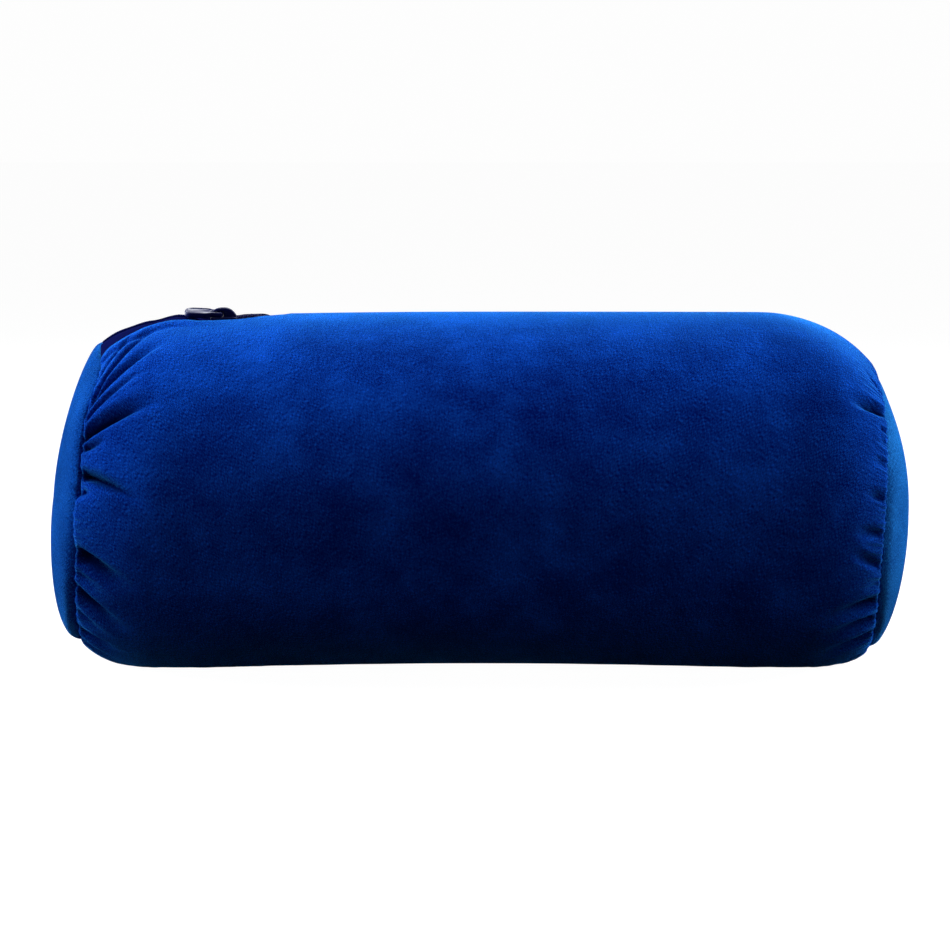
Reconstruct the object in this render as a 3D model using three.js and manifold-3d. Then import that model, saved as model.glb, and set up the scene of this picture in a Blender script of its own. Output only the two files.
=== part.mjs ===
// A neck roll pillow: a stuffed velour tube gathered at both ends onto round, domed end panels,
// with a nylon zip let into the tube along its crest.
// Millimetres, +Z up. X runs along the roll, -Y is the front, and the origin is on the surface
// that the roll lies on, under the middle of its box.
import * as THREE from "three";
import Module from "manifold-3d";

const wasm = await Module();
wasm.setup();

// Driving sizes of the whole roll.
const HEIGHT = 140.5; // crest above the surface, loaded by its own weight
const WIDTH = 152; // front to back, a little more than the height because the roll sags
const CLOTH = 2; // velour with its pile
const GAP = 0.3; // between pieces that touch on the real pillow
const FACET_GAP = 0.6; // the same between a panel and the tube, whose facets don't line up

// How far the round section would reach below the surface if it weren't pressed flat on it, and
// how much lower the crest is at the ends of the straight part.
const SINK_MIDDLE = 3;
const SINK_ENDS = 8;
const CREST_DROP = 1.2;

// The two ends, with distances outwards from the middle of the roll. Values in pairs are for the
// crest and for the underside. straightTo: where the tube starts to round off. arc: degrees of turn
// from there to the seam. seam: the round seam's place, with its middle's height, and lean, how much
// further out it is at the crest. dome: the panel's bulge, and the power of its rounding.
const LEFT = {
  side: -1,
  straightTo: [114, 128],
  arc: [60, 74],
  seam: { out: 157.8, lean: -4.3, height: 68.3, high: 60.8, wide: 62.5 },
  dome: { bulge: 13.6, power: [1.65, 2.8] },
};
const RIGHT = {
  side: 1,
  straightTo: [110, 130],
  arc: [64, 70],
  seam: { out: 159.6, lean: 0.6, height: 60.5, high: 56, wide: 59 },
  dome: { bulge: 13.8, power: [1.5, 2.2] },
};

// The end seam: both cloths roll in towards the stitching.
const SEAM_DEPTH = 3;
const SEAM_REACH_TUBE = 6;
const SEAM_REACH_PANEL = 6;
const SEAM_TURN = 1.8; // close to the seam the filling stays this far from the panel's turned edge

// The gathers puff out between the tucks, close to the seam.
const PUFF = 1.6;
const PUFF_REACH = 26;

// Main tucks of the gathered tube, one row each. at: degrees from the crest, minus towards the front.
// deep and reach: millimetres. half: half width in degrees. drift: degrees that the tuck wanders
// over its reach, plus towards the back.
const TUCKS_LEFT = [
  { at: -27, deep: 2.2, half: 4, reach: 42, drift: 14 },
  { at: -40, deep: 3.0, half: 5, reach: 46, drift: 16 },
  { at: -58, deep: 4.2, half: 5, reach: 40, drift: 12 },
  { at: -65, deep: 2.4, half: 4, reach: 12, drift: 2 },
  { at: -76, deep: 4.0, half: 5, reach: 30, drift: -12 },
  { at: -101, deep: 2.8, half: 5, reach: 40, drift: -20 },
  { at: -122, deep: 3.0, half: 5, reach: 38, drift: -16 },
  { at: -139, deep: 2.6, half: 5, reach: 34, drift: -12 },
  { at: -153, deep: 2.0, half: 5, reach: 28, drift: -8 },
  { at: 26, deep: 2.6, half: 5, reach: 34, drift: -8 },
  { at: 43, deep: 3.6, half: 5, reach: 40, drift: -10 },
  { at: 62, deep: 2.8, half: 5, reach: 26, drift: 6 },
  { at: 81, deep: 3.8, half: 5, reach: 36, drift: -6 },
  { at: 99, deep: 2.6, half: 5, reach: 24, drift: 8 },
  { at: 118, deep: 3.2, half: 5, reach: 34, drift: 12 },
  { at: 138, deep: 2.4, half: 5, reach: 28, drift: 8 },
];
const TUCKS_RIGHT = [
  { at: -24, deep: 2.0, half: 4, reach: 20, drift: 8 },
  { at: -39, deep: 3.4, half: 5, reach: 26, drift: 8 },
  { at: -56, deep: 1.8, half: 4, reach: 12, drift: 2 },
  { at: -77, deep: 1.8, half: 4, reach: 14, drift: 0 },
  { at: -91, deep: 2.4, half: 4, reach: 18, drift: -3 },
  { at: -103, deep: 2.8, half: 5, reach: 24, drift: -10 },
  { at: -121, deep: 2.6, half: 5, reach: 30, drift: -14 },
  { at: -137, deep: 2.4, half: 5, reach: 30, drift: -12 },
  { at: -152, deep: 1.8, half: 5, reach: 26, drift: -8 },
  { at: 22, deep: 2.2, half: 5, reach: 24, drift: -6 },
  { at: 38, deep: 3.0, half: 5, reach: 30, drift: 5 },
  { at: 57, deep: 2.2, half: 5, reach: 20, drift: -4 },
  { at: 74, deep: 3.2, half: 5, reach: 28, drift: 6 },
  { at: 94, deep: 2.4, half: 5, reach: 22, drift: -6 },
  { at: 113, deep: 3.0, half: 5, reach: 30, drift: 10 },
  { at: 134, deep: 2.2, half: 5, reach: 24, drift: 8 },
];

// The zip. It lies in a trough between two folded lips of the tube. Angles are degrees from the
// crest, plus towards the back: centre is the zip's middle line, front and back are the lips'
// distances from it. deep is the trough's floor below the lips, in millimetres. The lips gape at
// the slider and over the bare tape that runs into the left seam.
const ZIP_LINE = [
  { x: -160, centre: -8, front: 16, back: 18, deep: 1.6 },
  { x: -149, centre: -5.5, front: 12.5, back: 18, deep: 1.5 },
  { x: -134, centre: -3.5, front: 9.5, back: 17, deep: 1.5 },
  { x: -122, centre: -2.6, front: 8, back: 14, deep: 2.2 },
  { x: -112, centre: -2, front: 9, back: 11, deep: 5 },
  { x: -95, centre: -2, front: 6, back: 9, deep: 5 },
  { x: -86, centre: 1, front: 4.6, back: 6.5, deep: 4.6 },
  { x: -72, centre: 5, front: 3.4, back: 3.6, deep: 4 },
  { x: 175, centre: 6, front: 3.4, back: 3.4, deep: 4 },
];
const ZIP_END = 117; // past here the long seam is plainly closed
const LIP_WALL = 0.35; // degrees that a lip's wall takes
const TAPE_THICK = 0.9;
const TAPE_START = 0.02; // its cut end, as a share of the shoulder from the seam
const TAPE_PARTED = 1.6; // half the gap between the open tapes, left of the slider
const CHAIN_HALF = 2.3; // half the width of the closed coil
const CHAIN_HIGH = 1.7;
const CHAIN_CROWN = 0.62; // the flat top's share of the width
const CHAIN_EDGE = 0.55; // the edge's share of the height

// The slider, a cast piece of two plates joined by a post at its open end, with rims along the
// upper plate and a bridge that holds the puller. It narrows towards the closed side.
const SLIDER = { x: -103.4, long: 10.4, wide: 7.6, tail: 5.8, plate: 0.9, corner: 1.1, rim: 0.7, rimDeep: 0.8 };
const POST = { from: 0.5, long: 2.4, wide: 1.5 };
const BRIDGE = { long: 9.2, rise: 3.9, bar: 1.1, wide: 1.9, sunk: 0.2 };
const POCKET = { from: -110.2, to: -96.8, deep: 1.5, wall: 0.2 }; // room for its lower plate

// The puller, a flat tab with an eye round the bridge, pointing to the left. roll: degrees that it
// leans towards the front. pitch: degrees that its free end stands up. high: its middle's height
// over the slider's upper plate. back: from the slider's middle to the eye's far side.
const PULLER = { long: 16.4, wide: 8.2, neck: 5.6, neckLong: 4, waist: 3.4, thick: 1, corner: 3, neckCorner: 1 };
const EYE = { bar: 1.3, long: 3.4, wide: 2.8 };
const HANG = { roll: 18, pitch: 2, high: 1.7, back: 0.2 };

// How finely the cloth is faceted.
const TUBE_COLUMNS = 56;
const PANEL_COLUMNS = 40;
const ZIP_SHARES = [0, 0.25, 0.5, 0.75, 1]; // columns across each tape

const { cos, sin, abs, max, min, PI } = Math;
const rad = (degrees) => (degrees * PI) / 180;
const mix = (a, b, t) => a + (b - a) * t;
const fall = (distance, reach) => max(0, 1 - distance / reach) ** 2;

// The full round section at x: it sinks further towards the ends, so its centre is lower there.
function section(x) {
  const along = min(1, (x / LEFT.straightTo[0]) ** 2);
  const crest = HEIGHT - CREST_DROP * along;
  const sink = mix(SINK_MIDDLE, SINK_ENDS, along);
  return { high: (crest + sink) / 2, height: (crest - sink) / 2, wide: WIDTH / 2 };
}

// A value that goes from one at the crest to another underneath.
const round = ([over, under], angle) => mix(under, over, (1 + cos(rad(angle))) / 2);

// A station is a place along the roll: { x } on the straight part, { end, shoulder } from 0 at the
// seam to 1 where the tube is straight, or { end, dome } from 0 at the seam to 1 at the panel's
// middle. This gives the ring that the cloth follows there, at one angle round it.
function ringAt({ x, end, shoulder, dome }, angle) {
  if (!end) return { x, ...section(x) };
  const { side, straightTo, arc, seam } = end;
  const seamOut = seam.out + seam.lean * cos(rad(angle));
  if (dome !== undefined) {
    const share = cos((dome * PI) / 2);
    const power = round(end.dome.power, angle);
    const bulge = end.dome.bulge * (1 - share ** power) ** (1 / power);
    const out = seam.out + seam.lean * share * cos(rad(angle)) + bulge;
    return { x: side * out, high: seam.high * share, wide: seam.wide * share, height: seam.height };
  }
  const from = round(straightTo, angle);
  const turn = rad(round(arc, angle));
  const full = section(from);
  const left = (cos((1 - shoulder) * turn) - cos(turn)) / (1 - cos(turn));
  const out = mix(from, seamOut, sin((1 - shoulder) * turn) / sin(turn));
  return {
    x: side * out,
    high: mix(seam.high, full.high, left),
    wide: mix(seam.wide, full.wide, left),
    height: mix(seam.height, full.height, left),
  };
}

// A point of the smooth outer form, before any tuck, groove or trough.
function outerPoint(station, angle) {
  const { x, high, wide, height } = ringAt(station, angle);
  return new THREE.Vector3(x, wide * sin(rad(angle)), height + high * cos(rad(angle)));
}

// Where the inside of the roll is, seen from a station: cloth is moved towards it.
function insideOf(station) {
  if (!station.end) return new THREE.Vector3(station.x, 0, section(station.x).height);
  const { side, seam } = station.end;
  return new THREE.Vector3(side * (seam.out - seam.high), 0, seam.height);
}

// The same point moved inwards and pressed flat on the surface.
function pointAt(station, angle, inset) {
  const point = outerPoint(station, angle);
  point.addScaledVector(insideOf(station).sub(point).normalize(), inset);
  point.z = max(0, point.z);
  return point;
}

function zipLine(x) {
  const after = max(1, ZIP_LINE.findIndex((row) => row.x >= x));
  const [a, b] = [ZIP_LINE[after - 1], ZIP_LINE[after]];
  const t = max(0, (x - a.x) / (b.x - a.x));
  return {
    centre: mix(a.centre, b.centre, t),
    front: mix(a.front, b.front, t),
    back: mix(a.back, b.back, t),
    deep: mix(a.deep, b.deep, t),
  };
}

const xOf = (station) => outerPoint(station, 0).x;
const apart = (a, b) => abs(((((a - b) % 360) + 540) % 360) - 180);

// How far the tucks and the puffed gathers move the tube at a distance from the seam.
function gather(end, angle, distance) {
  const tucks = end === LEFT ? TUCKS_LEFT : TUCKS_RIGHT;
  const tucked = tucks.map(({ at, deep, half, reach, drift }) => {
    const off = apart(angle, at + (drift * distance) / reach) / half;
    return off < 1 ? deep * (1 - off * off) ** 2 * fall(distance, reach) : 0;
  });
  return tucked.reduce((sum, depth) => sum + depth, 0) - PUFF * fall(distance, PUFF_REACH);
}

// The straight distance from the seam to the same angle of another station of that end.
function fromSeam(station, angle) {
  return outerPoint(station, angle).distanceTo(outerPoint({ end: station.end, dome: 0 }, angle));
}

// Insets of the tube's cloth, of the zip's trough and of an end panel.
function tubeInset(station, angle) {
  if (!station.end) return 0;
  const distance = fromSeam(station, angle);
  const atSeam = fall(distance, SEAM_REACH_TUBE);
  return gather(station.end, angle, distance) * (1 - atSeam) + SEAM_DEPTH * atSeam;
}

const inPocket = (station) => xOf(station) > POCKET.from && xOf(station) < POCKET.to;

function tapeBedInset(station, angle) {
  const groove = station.end ? SEAM_DEPTH * fall(fromSeam(station, angle), SEAM_REACH_TUBE) : 0;
  return max(zipLine(xOf(station)).deep, groove);
}

function troughInset(station, angle) {
  if (xOf(station) > ZIP_END) return tubeInset(station, angle);
  return tapeBedInset(station, angle) + (inPocket(station) ? POCKET.deep : 0);
}

const panelInset = (station, angle) => SEAM_DEPTH * fall(fromSeam(station, angle), SEAM_REACH_PANEL);

// Stations along the roll.
const PANEL_STEPS = [0, 0.04, 0.1, 0.18, 0.3, 0.46, 0.64, 0.82]; // from the seam to the panel's middle
const SHOULDER_STEPS = [0, 0.07, 0.15, 0.25, 0.38, 0.55, 0.76]; // from the seam to the straight part
const STRAIGHT = [
  POCKET.from - POCKET.wall, POCKET.from + POCKET.wall, POCKET.to - POCKET.wall, POCKET.to + POCKET.wall,
  -92, -84, -76, -60, -30, 0, 30, 60, 90, ZIP_END - 0.5, ZIP_END + 0.5,
];
const tubeStations = [
  ...SHOULDER_STEPS.map((shoulder) => ({ end: LEFT, shoulder })),
  ...STRAIGHT.map((x) => ({ x })),
  ...SHOULDER_STEPS.map((shoulder) => ({ end: RIGHT, shoulder })).reverse(),
];

// Columns round the tube: two walls and a floor for the zip, and the rest evenly round the back,
// the underside and the front. Each gives the angle and whether it lies in the trough.
const COLUMNS = [
  { lip: "front", share: 1, inTrough: false },
  ...ZIP_SHARES.slice().reverse().map((share) => ({ lip: "front", share, inTrough: true })),
  ...ZIP_SHARES.slice(1).map((share) => ({ lip: "back", share, inTrough: true })),
  { lip: "back", share: 1, inTrough: false },
  ...Array.from({ length: TUBE_COLUMNS - 1 }, (_, i) => ({ round: (i + 1) / TUBE_COLUMNS, inTrough: false })),
];

function columnAngle(column, x) {
  const { centre, front, back } = zipLine(x);
  const wall = column.inTrough ? 0 : LIP_WALL;
  if (column.lip === "front") return centre - column.share * front - wall;
  if (column.lip === "back") return centre + column.share * back + wall;
  return mix(centre + back + LIP_WALL, centre - front - LIP_WALL + 360, column.round);
}

// One closed surface through rings of points, with a fan of triangles to a pole at either end.
function throughRings(rings, firstPole, lastPole) {
  const size = rings[0].length;
  const points = [...rings.flat(), firstPole, lastPole];
  const first = points.length - 2;
  const faces = [];
  for (let i = 0; i < size; i++) {
    const next = (i + 1) % size;
    faces.push(first, i, next);
    for (let r = 0; r + 1 < rings.length; r++) {
      const [a, b] = [r * size, (r + 1) * size];
      faces.push(a + i, b + i, a + next, a + next, b + i, b + next);
    }
    const last = (rings.length - 1) * size;
    faces.push(last + i, first + 1, last + next);
  }
  return new THREE.BufferGeometry().setFromPoints(points).setIndex(faces);
}

// A long flat strip: each row has its points underneath and on top, from the front to the back.
function strip(rows) {
  const wide = rows[0].under.length;
  const rings = rows.map(({ under, top }) => [...top, ...under.slice().reverse()]);
  const size = 2 * wide;
  const faces = [];
  for (let r = 0; r + 1 < rings.length; r++) {
    for (let i = 0; i < size; i++) {
      const next = (i + 1) % size;
      const [a, b] = [r * size, (r + 1) * size];
      faces.push(a + i, b + i, a + next, a + next, b + i, b + next);
    }
  }
  const last = (rings.length - 1) * size;
  for (let i = 0; i + 1 < wide; i++) {
    const [p, q, s, t] = [i, i + 1, size - 2 - i, size - 1 - i];
    faces.push(p, q, s, p, s, t);
    faces.push(last + p, last + s, last + q, last + p, last + t, last + s);
  }
  return new THREE.BufferGeometry().setFromPoints(rings.flat()).setIndex(faces);
}

// The stuffed tube: its filling carries on under both end panels, so it is one solid.
function tubeGeometry() {
  const ring = (station, insetOf) =>
    COLUMNS.map((column) => {
      const angle = columnAngle(column, xOf(station));
      return pointAt(station, angle, insetOf(angle, column));
    });
  const core = (end) =>
    PANEL_STEPS.map((dome, i) =>
      ring({ end, dome }, (angle) => panelInset({ end, dome }, angle) + CLOTH + (i > 1 ? FACET_GAP : SEAM_TURN)),
    );
  const cloth = tubeStations.map((station) =>
    ring(station, (angle, { inTrough }) => (inTrough ? troughInset : tubeInset)(station, angle)),
  );
  const pole = (end) => pointAt({ end, dome: 1 }, 0, CLOTH + FACET_GAP);
  return throughRings([...core(LEFT).reverse(), ...cloth, ...core(RIGHT)], pole(LEFT), pole(RIGHT));
}

// A round end panel, a sheet domed by the filling behind it.
function panelGeometry(end) {
  const angles = Array.from({ length: PANEL_COLUMNS }, (_, i) => (360 * i) / PANEL_COLUMNS);
  const side = (inset) =>
    PANEL_STEPS.map((dome, i) =>
      angles.map((angle) => {
        const point = pointAt({ end, dome }, angle, panelInset({ end, dome }, angle) + inset);
        point.x += end.side * (i ? 0 : FACET_GAP);
        return point;
      }),
    );
  const pole = (inset) => pointAt({ end, dome: 1 }, 0, inset);
  const made = throughRings([...side(CLOTH).reverse(), ...side(0)], pole(CLOTH), pole(0));
  return end.side > 0 ? made : turnedOver(made);
}

function turnedOver(geometry) {
  const index = Array.from(geometry.getIndex().array);
  for (let i = 0; i < index.length; i += 3) [index[i + 1], index[i + 2]] = [index[i + 2], index[i + 1]];
  return geometry.setIndex(index);
}

// A point over the bed that the zip's tapes lie in: aside is in millimetres from the zip's middle
// line, plus to the back.
function overZip(station, aside, high) {
  const { centre } = zipLine(xOf(station));
  const angle = centre + aside / rad(1) / ringAt(station, centre).high;
  return pointAt(station, angle, tapeBedInset(station, angle) - high);
}

// From the zip's middle line to a tape's inner edge: closed right of the slider, round the post
// under it, and parted left of it.
function tapeInnerEdge(station) {
  const x = xOf(station);
  if (x > POCKET.to) return GAP / 2;
  return mix(POST.wide / 2 + GAP, TAPE_PARTED, min(1, max(0, POCKET.from - x) / SLIDER.long));
}

// One half of the zip's tape, from the left seam to the zip's end.
function tapeGeometry(lip) {
  const sign = lip === "front" ? -1 : 1;
  const stations = tubeStations
    .filter((station) => xOf(station) < ZIP_END)
    .map((station, i) => (i ? station : { ...station, shoulder: TAPE_START }));
  const rows = stations.map((station) => {
    const line = zipLine(xOf(station));
    const outer = rad(line[lip]) * ringAt(station, line.centre).high - GAP;
    const across = ZIP_SHARES.map((share) => sign * mix(tapeInnerEdge(station), outer, share));
    if (sign < 0) across.reverse();
    return {
      under: across.map((aside) => overZip(station, aside, GAP)),
      top: across.map((aside) => overZip(station, aside, GAP + TAPE_THICK)),
    };
  });
  return strip(rows);
}

// The closed coil, one strip from inside the slider to the zip's end.
function chainGeometry() {
  const stations = [SLIDER.x, ...STRAIGHT.filter((x) => x > SLIDER.x && x < ZIP_END)].map((x) => ({ x }));
  const low = 2 * GAP + TAPE_THICK;
  const crown = CHAIN_HALF * CHAIN_CROWN;
  const across = [-CHAIN_HALF, -crown, crown, CHAIN_HALF];
  const rows = stations.map((station) => ({
    under: across.map((aside) => overZip(station, aside, low)),
    top: across.map((aside) => overZip(station, aside, low + CHAIN_HIGH * (abs(aside) > crown ? CHAIN_EDGE : 1))),
  }));
  return strip(rows);
}

// Geometry to a solid and back, to join and cut.
function solidOf(geometry) {
  const open = geometry.index ? geometry.toNonIndexed() : geometry;
  const keys = new Map();
  const vertices = [];
  const position = open.getAttribute("position");
  const corners = Uint32Array.from({ length: position.count }, (_, i) => {
    const point = [position.getX(i), position.getY(i), position.getZ(i)].map((v) => Math.round(v * 1e4) / 1e4);
    const key = point.join();
    if (!keys.has(key)) {
      keys.set(key, keys.size);
      vertices.push(...point);
    }
    return keys.get(key);
  });
  const mesh = new wasm.Mesh({ numProp: 3, vertProperties: new Float32Array(vertices), triVerts: corners });
  return new wasm.Manifold(mesh);
}

function geometryOf(solid) {
  const { vertProperties, triVerts } = solid.getMesh();
  return new THREE.BufferGeometry()
    .setAttribute("position", new THREE.BufferAttribute(vertProperties, 3))
    .setIndex(new THREE.BufferAttribute(triVerts, 1));
}

// An outline in X and Y, pushed up from a height by a thickness.
const CURVE_SEGMENTS = 5;
const pushedUp = (shape, from, thick) =>
  new THREE.ExtrudeGeometry(shape, { depth: thick, bevelEnabled: false, curveSegments: CURVE_SEGMENTS })
    .translate(0, 0, from);

// An outline from its upper half, which runs from the left end to the right end of the X axis:
// each row is the next corner, and a third and fourth number are the bend's own corner before it.
function mirrored(half) {
  const shape = new THREE.Shape();
  const [first, ...rest] = half;
  const step = (x, y, bendX, bendY, sign) =>
    bendX === undefined ? shape.lineTo(x, sign * y) : shape.quadraticCurveTo(bendX, sign * bendY, x, sign * y);
  shape.moveTo(first[0], -first[1]);
  for (const [x, y, bendX, bendY] of rest) step(x, y, bendX, bendY, -1);
  const last = half.length - 1;
  shape.lineTo(half[last][0], half[last][1]);
  for (let i = last; i > 0; i--) step(half[i - 1][0], half[i - 1][1], half[i][2], half[i][3], 1);
  shape.closePath();
  return shape;
}

// Heights in the slider's own frame, above the bed of the tapes.
const UPPER_UNDER = 3 * GAP + TAPE_THICK + CHAIN_HIGH;
const UPPER_TOP = UPPER_UNDER + SLIDER.plate;

// One side of the bridge's outline, as an arch of a given half length and rise.
function archAcross(path, reach, rise, towards) {
  const bend = reach * 0.55;
  if (towards > 0) {
    path.bezierCurveTo(-reach, rise * 0.9, -bend, rise, 0, rise);
    path.bezierCurveTo(bend, rise, reach, rise * 0.8, reach, -BRIDGE.sunk);
  } else {
    path.bezierCurveTo(reach, rise * 0.8, bend, rise, 0, rise);
    path.bezierCurveTo(-bend, rise, -reach, rise * 0.9, -reach, -BRIDGE.sunk);
  }
}

function bridgeGeometry() {
  const arch = new THREE.Shape();
  const [outer, inner] = [BRIDGE.long / 2, BRIDGE.long / 2 - BRIDGE.bar];
  arch.moveTo(-outer, -BRIDGE.sunk);
  archAcross(arch, outer, BRIDGE.rise, 1);
  arch.lineTo(inner, -BRIDGE.sunk);
  archAcross(arch, inner, BRIDGE.rise - BRIDGE.bar, -1);
  return pushedUp(arch, -BRIDGE.wide / 2, BRIDGE.wide).rotateX(PI / 2).translate(0, 0, UPPER_TOP);
}

function sliderGeometry() {
  const { long, wide, tail, plate, corner, rim, rimDeep } = SLIDER;
  const half = long / 2;
  const outline = mirrored([
    [-half, wide / 2 - corner],
    [-half + corner, wide / 2, -half, wide / 2],
    [half - corner, tail / 2],
    [half, tail / 2 - corner, half, tail / 2],
  ]);
  const rimOn = (side) => {
    const bar = new THREE.Shape();
    bar.moveTo(-half + corner, side * (wide / 2 - rim));
    bar.lineTo(half - corner, side * (tail / 2 - rim));
    bar.lineTo(half - corner, (side * tail) / 2);
    bar.lineTo(-half + corner, (side * wide) / 2);
    return pushedUp(bar, UPPER_UNDER - rimDeep, rimDeep + plate / 2);
  };
  const post = mirrored([
    [-half + POST.from, 0],
    [-half + POST.from + POST.long / 2, POST.wide / 2],
    [-half + POST.from + POST.long, 0],
  ]);
  const pieces = [
    pushedUp(outline, -plate, plate),
    pushedUp(outline, UPPER_UNDER, plate),
    rimOn(-1),
    rimOn(1),
    pushedUp(post, -plate / 2, UPPER_UNDER + plate),
    bridgeGeometry(),
  ];
  return geometryOf(pieces.map(solidOf).reduce((joined, piece) => joined.add(piece)));
}

// The puller lies along X, with its eye at the right end, at X = 0.
function pullerGeometry() {
  const { long, wide, neck, neckLong, waist, thick, corner, neckCorner } = PULLER;
  const outline = mirrored([
    [-long, wide / 2 - corner],
    [-long + corner, wide / 2, -long, wide / 2],
    [-neckLong - waist, wide / 2],
    [-neckLong - waist / 2, (wide + neck) / 4, -neckLong - waist / 2, wide / 2],
    [-neckLong, neck / 2, -neckLong - waist / 2, neck / 2],
    [-neckCorner, neck / 2],
    [0, neck / 2 - neckCorner, 0, neck / 2],
  ]);
  const eye = new THREE.Path();
  eye.moveTo(-EYE.bar, -EYE.wide / 2);
  eye.lineTo(-EYE.bar, EYE.wide / 2);
  eye.lineTo(-EYE.bar - EYE.long, EYE.wide / 2);
  eye.lineTo(-EYE.bar - EYE.long, -EYE.wide / 2);
  eye.closePath();
  outline.holes.push(eye);
  return pushedUp(outline, -thick / 2, thick);
}

// The frame of the zip's hard pieces: at the slider, with X along the zip and Z out of the roll.
function sliderFrame() {
  const { centre, deep } = zipLine(SLIDER.x);
  const group = new THREE.Group();
  group.position.copy(pointAt({ x: SLIDER.x }, centre, deep));
  group.rotation.x = -rad(centre);
  return group;
}

const finish = (color, roughness, metalness) => new THREE.MeshStandardMaterial({ color, roughness, metalness });
const velour = finish(0x0b3f9c, 0.95, 0);
const navyTape = finish(0x141a5c, 0.8, 0);
const navyNylon = finish(0x10164a, 0.45, 0);
const navyEnamel = finish(0x0c1030, 0.25, 0.3);

function named(name, geometry, material) {
  const mesh = new THREE.Mesh(geometry, material);
  mesh.name = name;
  return mesh;
}

const puller = named("zip_puller", pullerGeometry(), navyEnamel);
puller.position.set(-HANG.back, 0, UPPER_TOP + HANG.high);
puller.rotation.set(rad(HANG.roll), rad(HANG.pitch), 0, "YXZ");

const hardware = sliderFrame();
hardware.add(named("zip_slider", sliderGeometry(), navyEnamel), puller);

const pillow = new THREE.Group();
pillow.add(
  named("tube", tubeGeometry(), velour),
  named("end_panel_left", panelGeometry(LEFT), velour),
  named("end_panel_right", panelGeometry(RIGHT), velour),
  named("zip_tape_front", tapeGeometry("front"), navyTape),
  named("zip_tape_back", tapeGeometry("back"), navyTape),
  named("zip_chain", chainGeometry(), navyNylon),
  hardware,
);

// The two domes reach unequally far, and the origin is under the middle of the whole roll.
const reach = ({ seam, dome }) => seam.out + dome.bulge;
pillow.position.x = (reach(LEFT) - reach(RIGHT)) / 2;

export default pillow;
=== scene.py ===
# %% [markdown]
# # A velour neck roll
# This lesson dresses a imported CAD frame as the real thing: a stuffed tube of blue velour, gathered at
# both ends onto round panels, with a nylon zip let into its crest. The frame gives the size and place
# of every piece. We only make each one look like cloth, nylon or enamelled metal.

import bpy
import numpy as np
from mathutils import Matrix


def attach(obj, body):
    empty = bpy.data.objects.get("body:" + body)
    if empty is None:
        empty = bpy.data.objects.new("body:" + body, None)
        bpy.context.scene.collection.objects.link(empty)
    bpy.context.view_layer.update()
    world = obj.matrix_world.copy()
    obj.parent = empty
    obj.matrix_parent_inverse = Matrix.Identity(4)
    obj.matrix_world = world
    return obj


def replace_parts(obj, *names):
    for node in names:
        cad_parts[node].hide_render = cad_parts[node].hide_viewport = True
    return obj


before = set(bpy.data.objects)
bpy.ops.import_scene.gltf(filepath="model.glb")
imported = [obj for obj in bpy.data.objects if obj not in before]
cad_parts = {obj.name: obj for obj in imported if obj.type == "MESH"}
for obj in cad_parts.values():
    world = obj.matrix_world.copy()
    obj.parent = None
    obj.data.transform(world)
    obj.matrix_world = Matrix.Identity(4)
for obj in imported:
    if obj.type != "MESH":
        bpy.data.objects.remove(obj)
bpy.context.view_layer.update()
MM = 0.001
scene = bpy.context.scene
print("nodes of the frame:", sorted(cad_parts))

# %% [markdown]
# ## The camera
# The pillow was seen from in front and a little above, from about 1.2 m with a long lens, so its
# ends look nearly square on. A long lens far away, not a wide one close by, keeps that look.

# %% The camera
AIM = np.array([-2.7, 0.0, 74.1]) * MM
DISTANCE = 1.2
ELEVATION = np.radians(8.0)
LENS = 111.2  # millimetres, on a 36 mm sensor

camera = bpy.data.objects.new("camera", bpy.data.cameras.new("camera"))
camera.data.lens = LENS
camera.data.sensor_width = 36.0
camera.data.clip_start = 0.05
camera.location = AIM + DISTANCE * np.array([0.0, -np.cos(ELEVATION), np.sin(ELEVATION)])
camera.rotation_euler = (np.pi / 2 - ELEVATION, 0.0, 0.0)
scene.collection.objects.link(camera)
scene.camera = camera
print("camera stands", round(DISTANCE, 2), "m away")

# %% [markdown]
# ## Colours and nodes
# Colours are picked as sRGB hex values, as from a shade card, but a shader wants linear ones. One
# function turns the first into the second, and one more adds a node with its settings and links.


# %% Colours and nodes
def linear(shade):
    """sRGB hex to linear RGBA: each channel c is c / 12.92 up to 0.04045, else ((c + 0.055) / 1.055) ** 2.4."""
    c = np.array([int(shade[i : i + 2], 16) for i in (1, 3, 5)]) / 255
    return (*np.where(c <= 0.04045, c / 12.92, ((c + 0.055) / 1.055) ** 2.4), 1.0)


def add(tree, kind, settings=None, **sockets):
    """Adds a node. A socket's value is a constant, or another node's output, which is then linked to it."""
    node = tree.nodes.new(kind)
    for key, value in (settings or {}).items():
        setattr(node, key, value)
    for key, value in sockets.items():
        wanted = key.replace("_", " ").lower()
        socket = next(s for s in node.inputs if s.enabled and s.name.lower() == wanted)
        if isinstance(value, bpy.types.NodeSocket):
            tree.links.new(value, socket)
        else:
            socket.default_value = value
    return node


def material(name):
    """A new material, with its node tree and its Principled shader."""
    made = bpy.data.materials.new(name)
    made.use_nodes = True
    return made, made.node_tree, made.node_tree.nodes["Principled BSDF"]


# %% [markdown]
# ## The stage
# A pale floor, a white surround and soft light. The velour is bright on its crest and almost black
# underneath, so nearly all the light comes from a big soft panel overhead, with a weaker one at
# either end for the round panels, and hardly any comes back from the floor.

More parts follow.
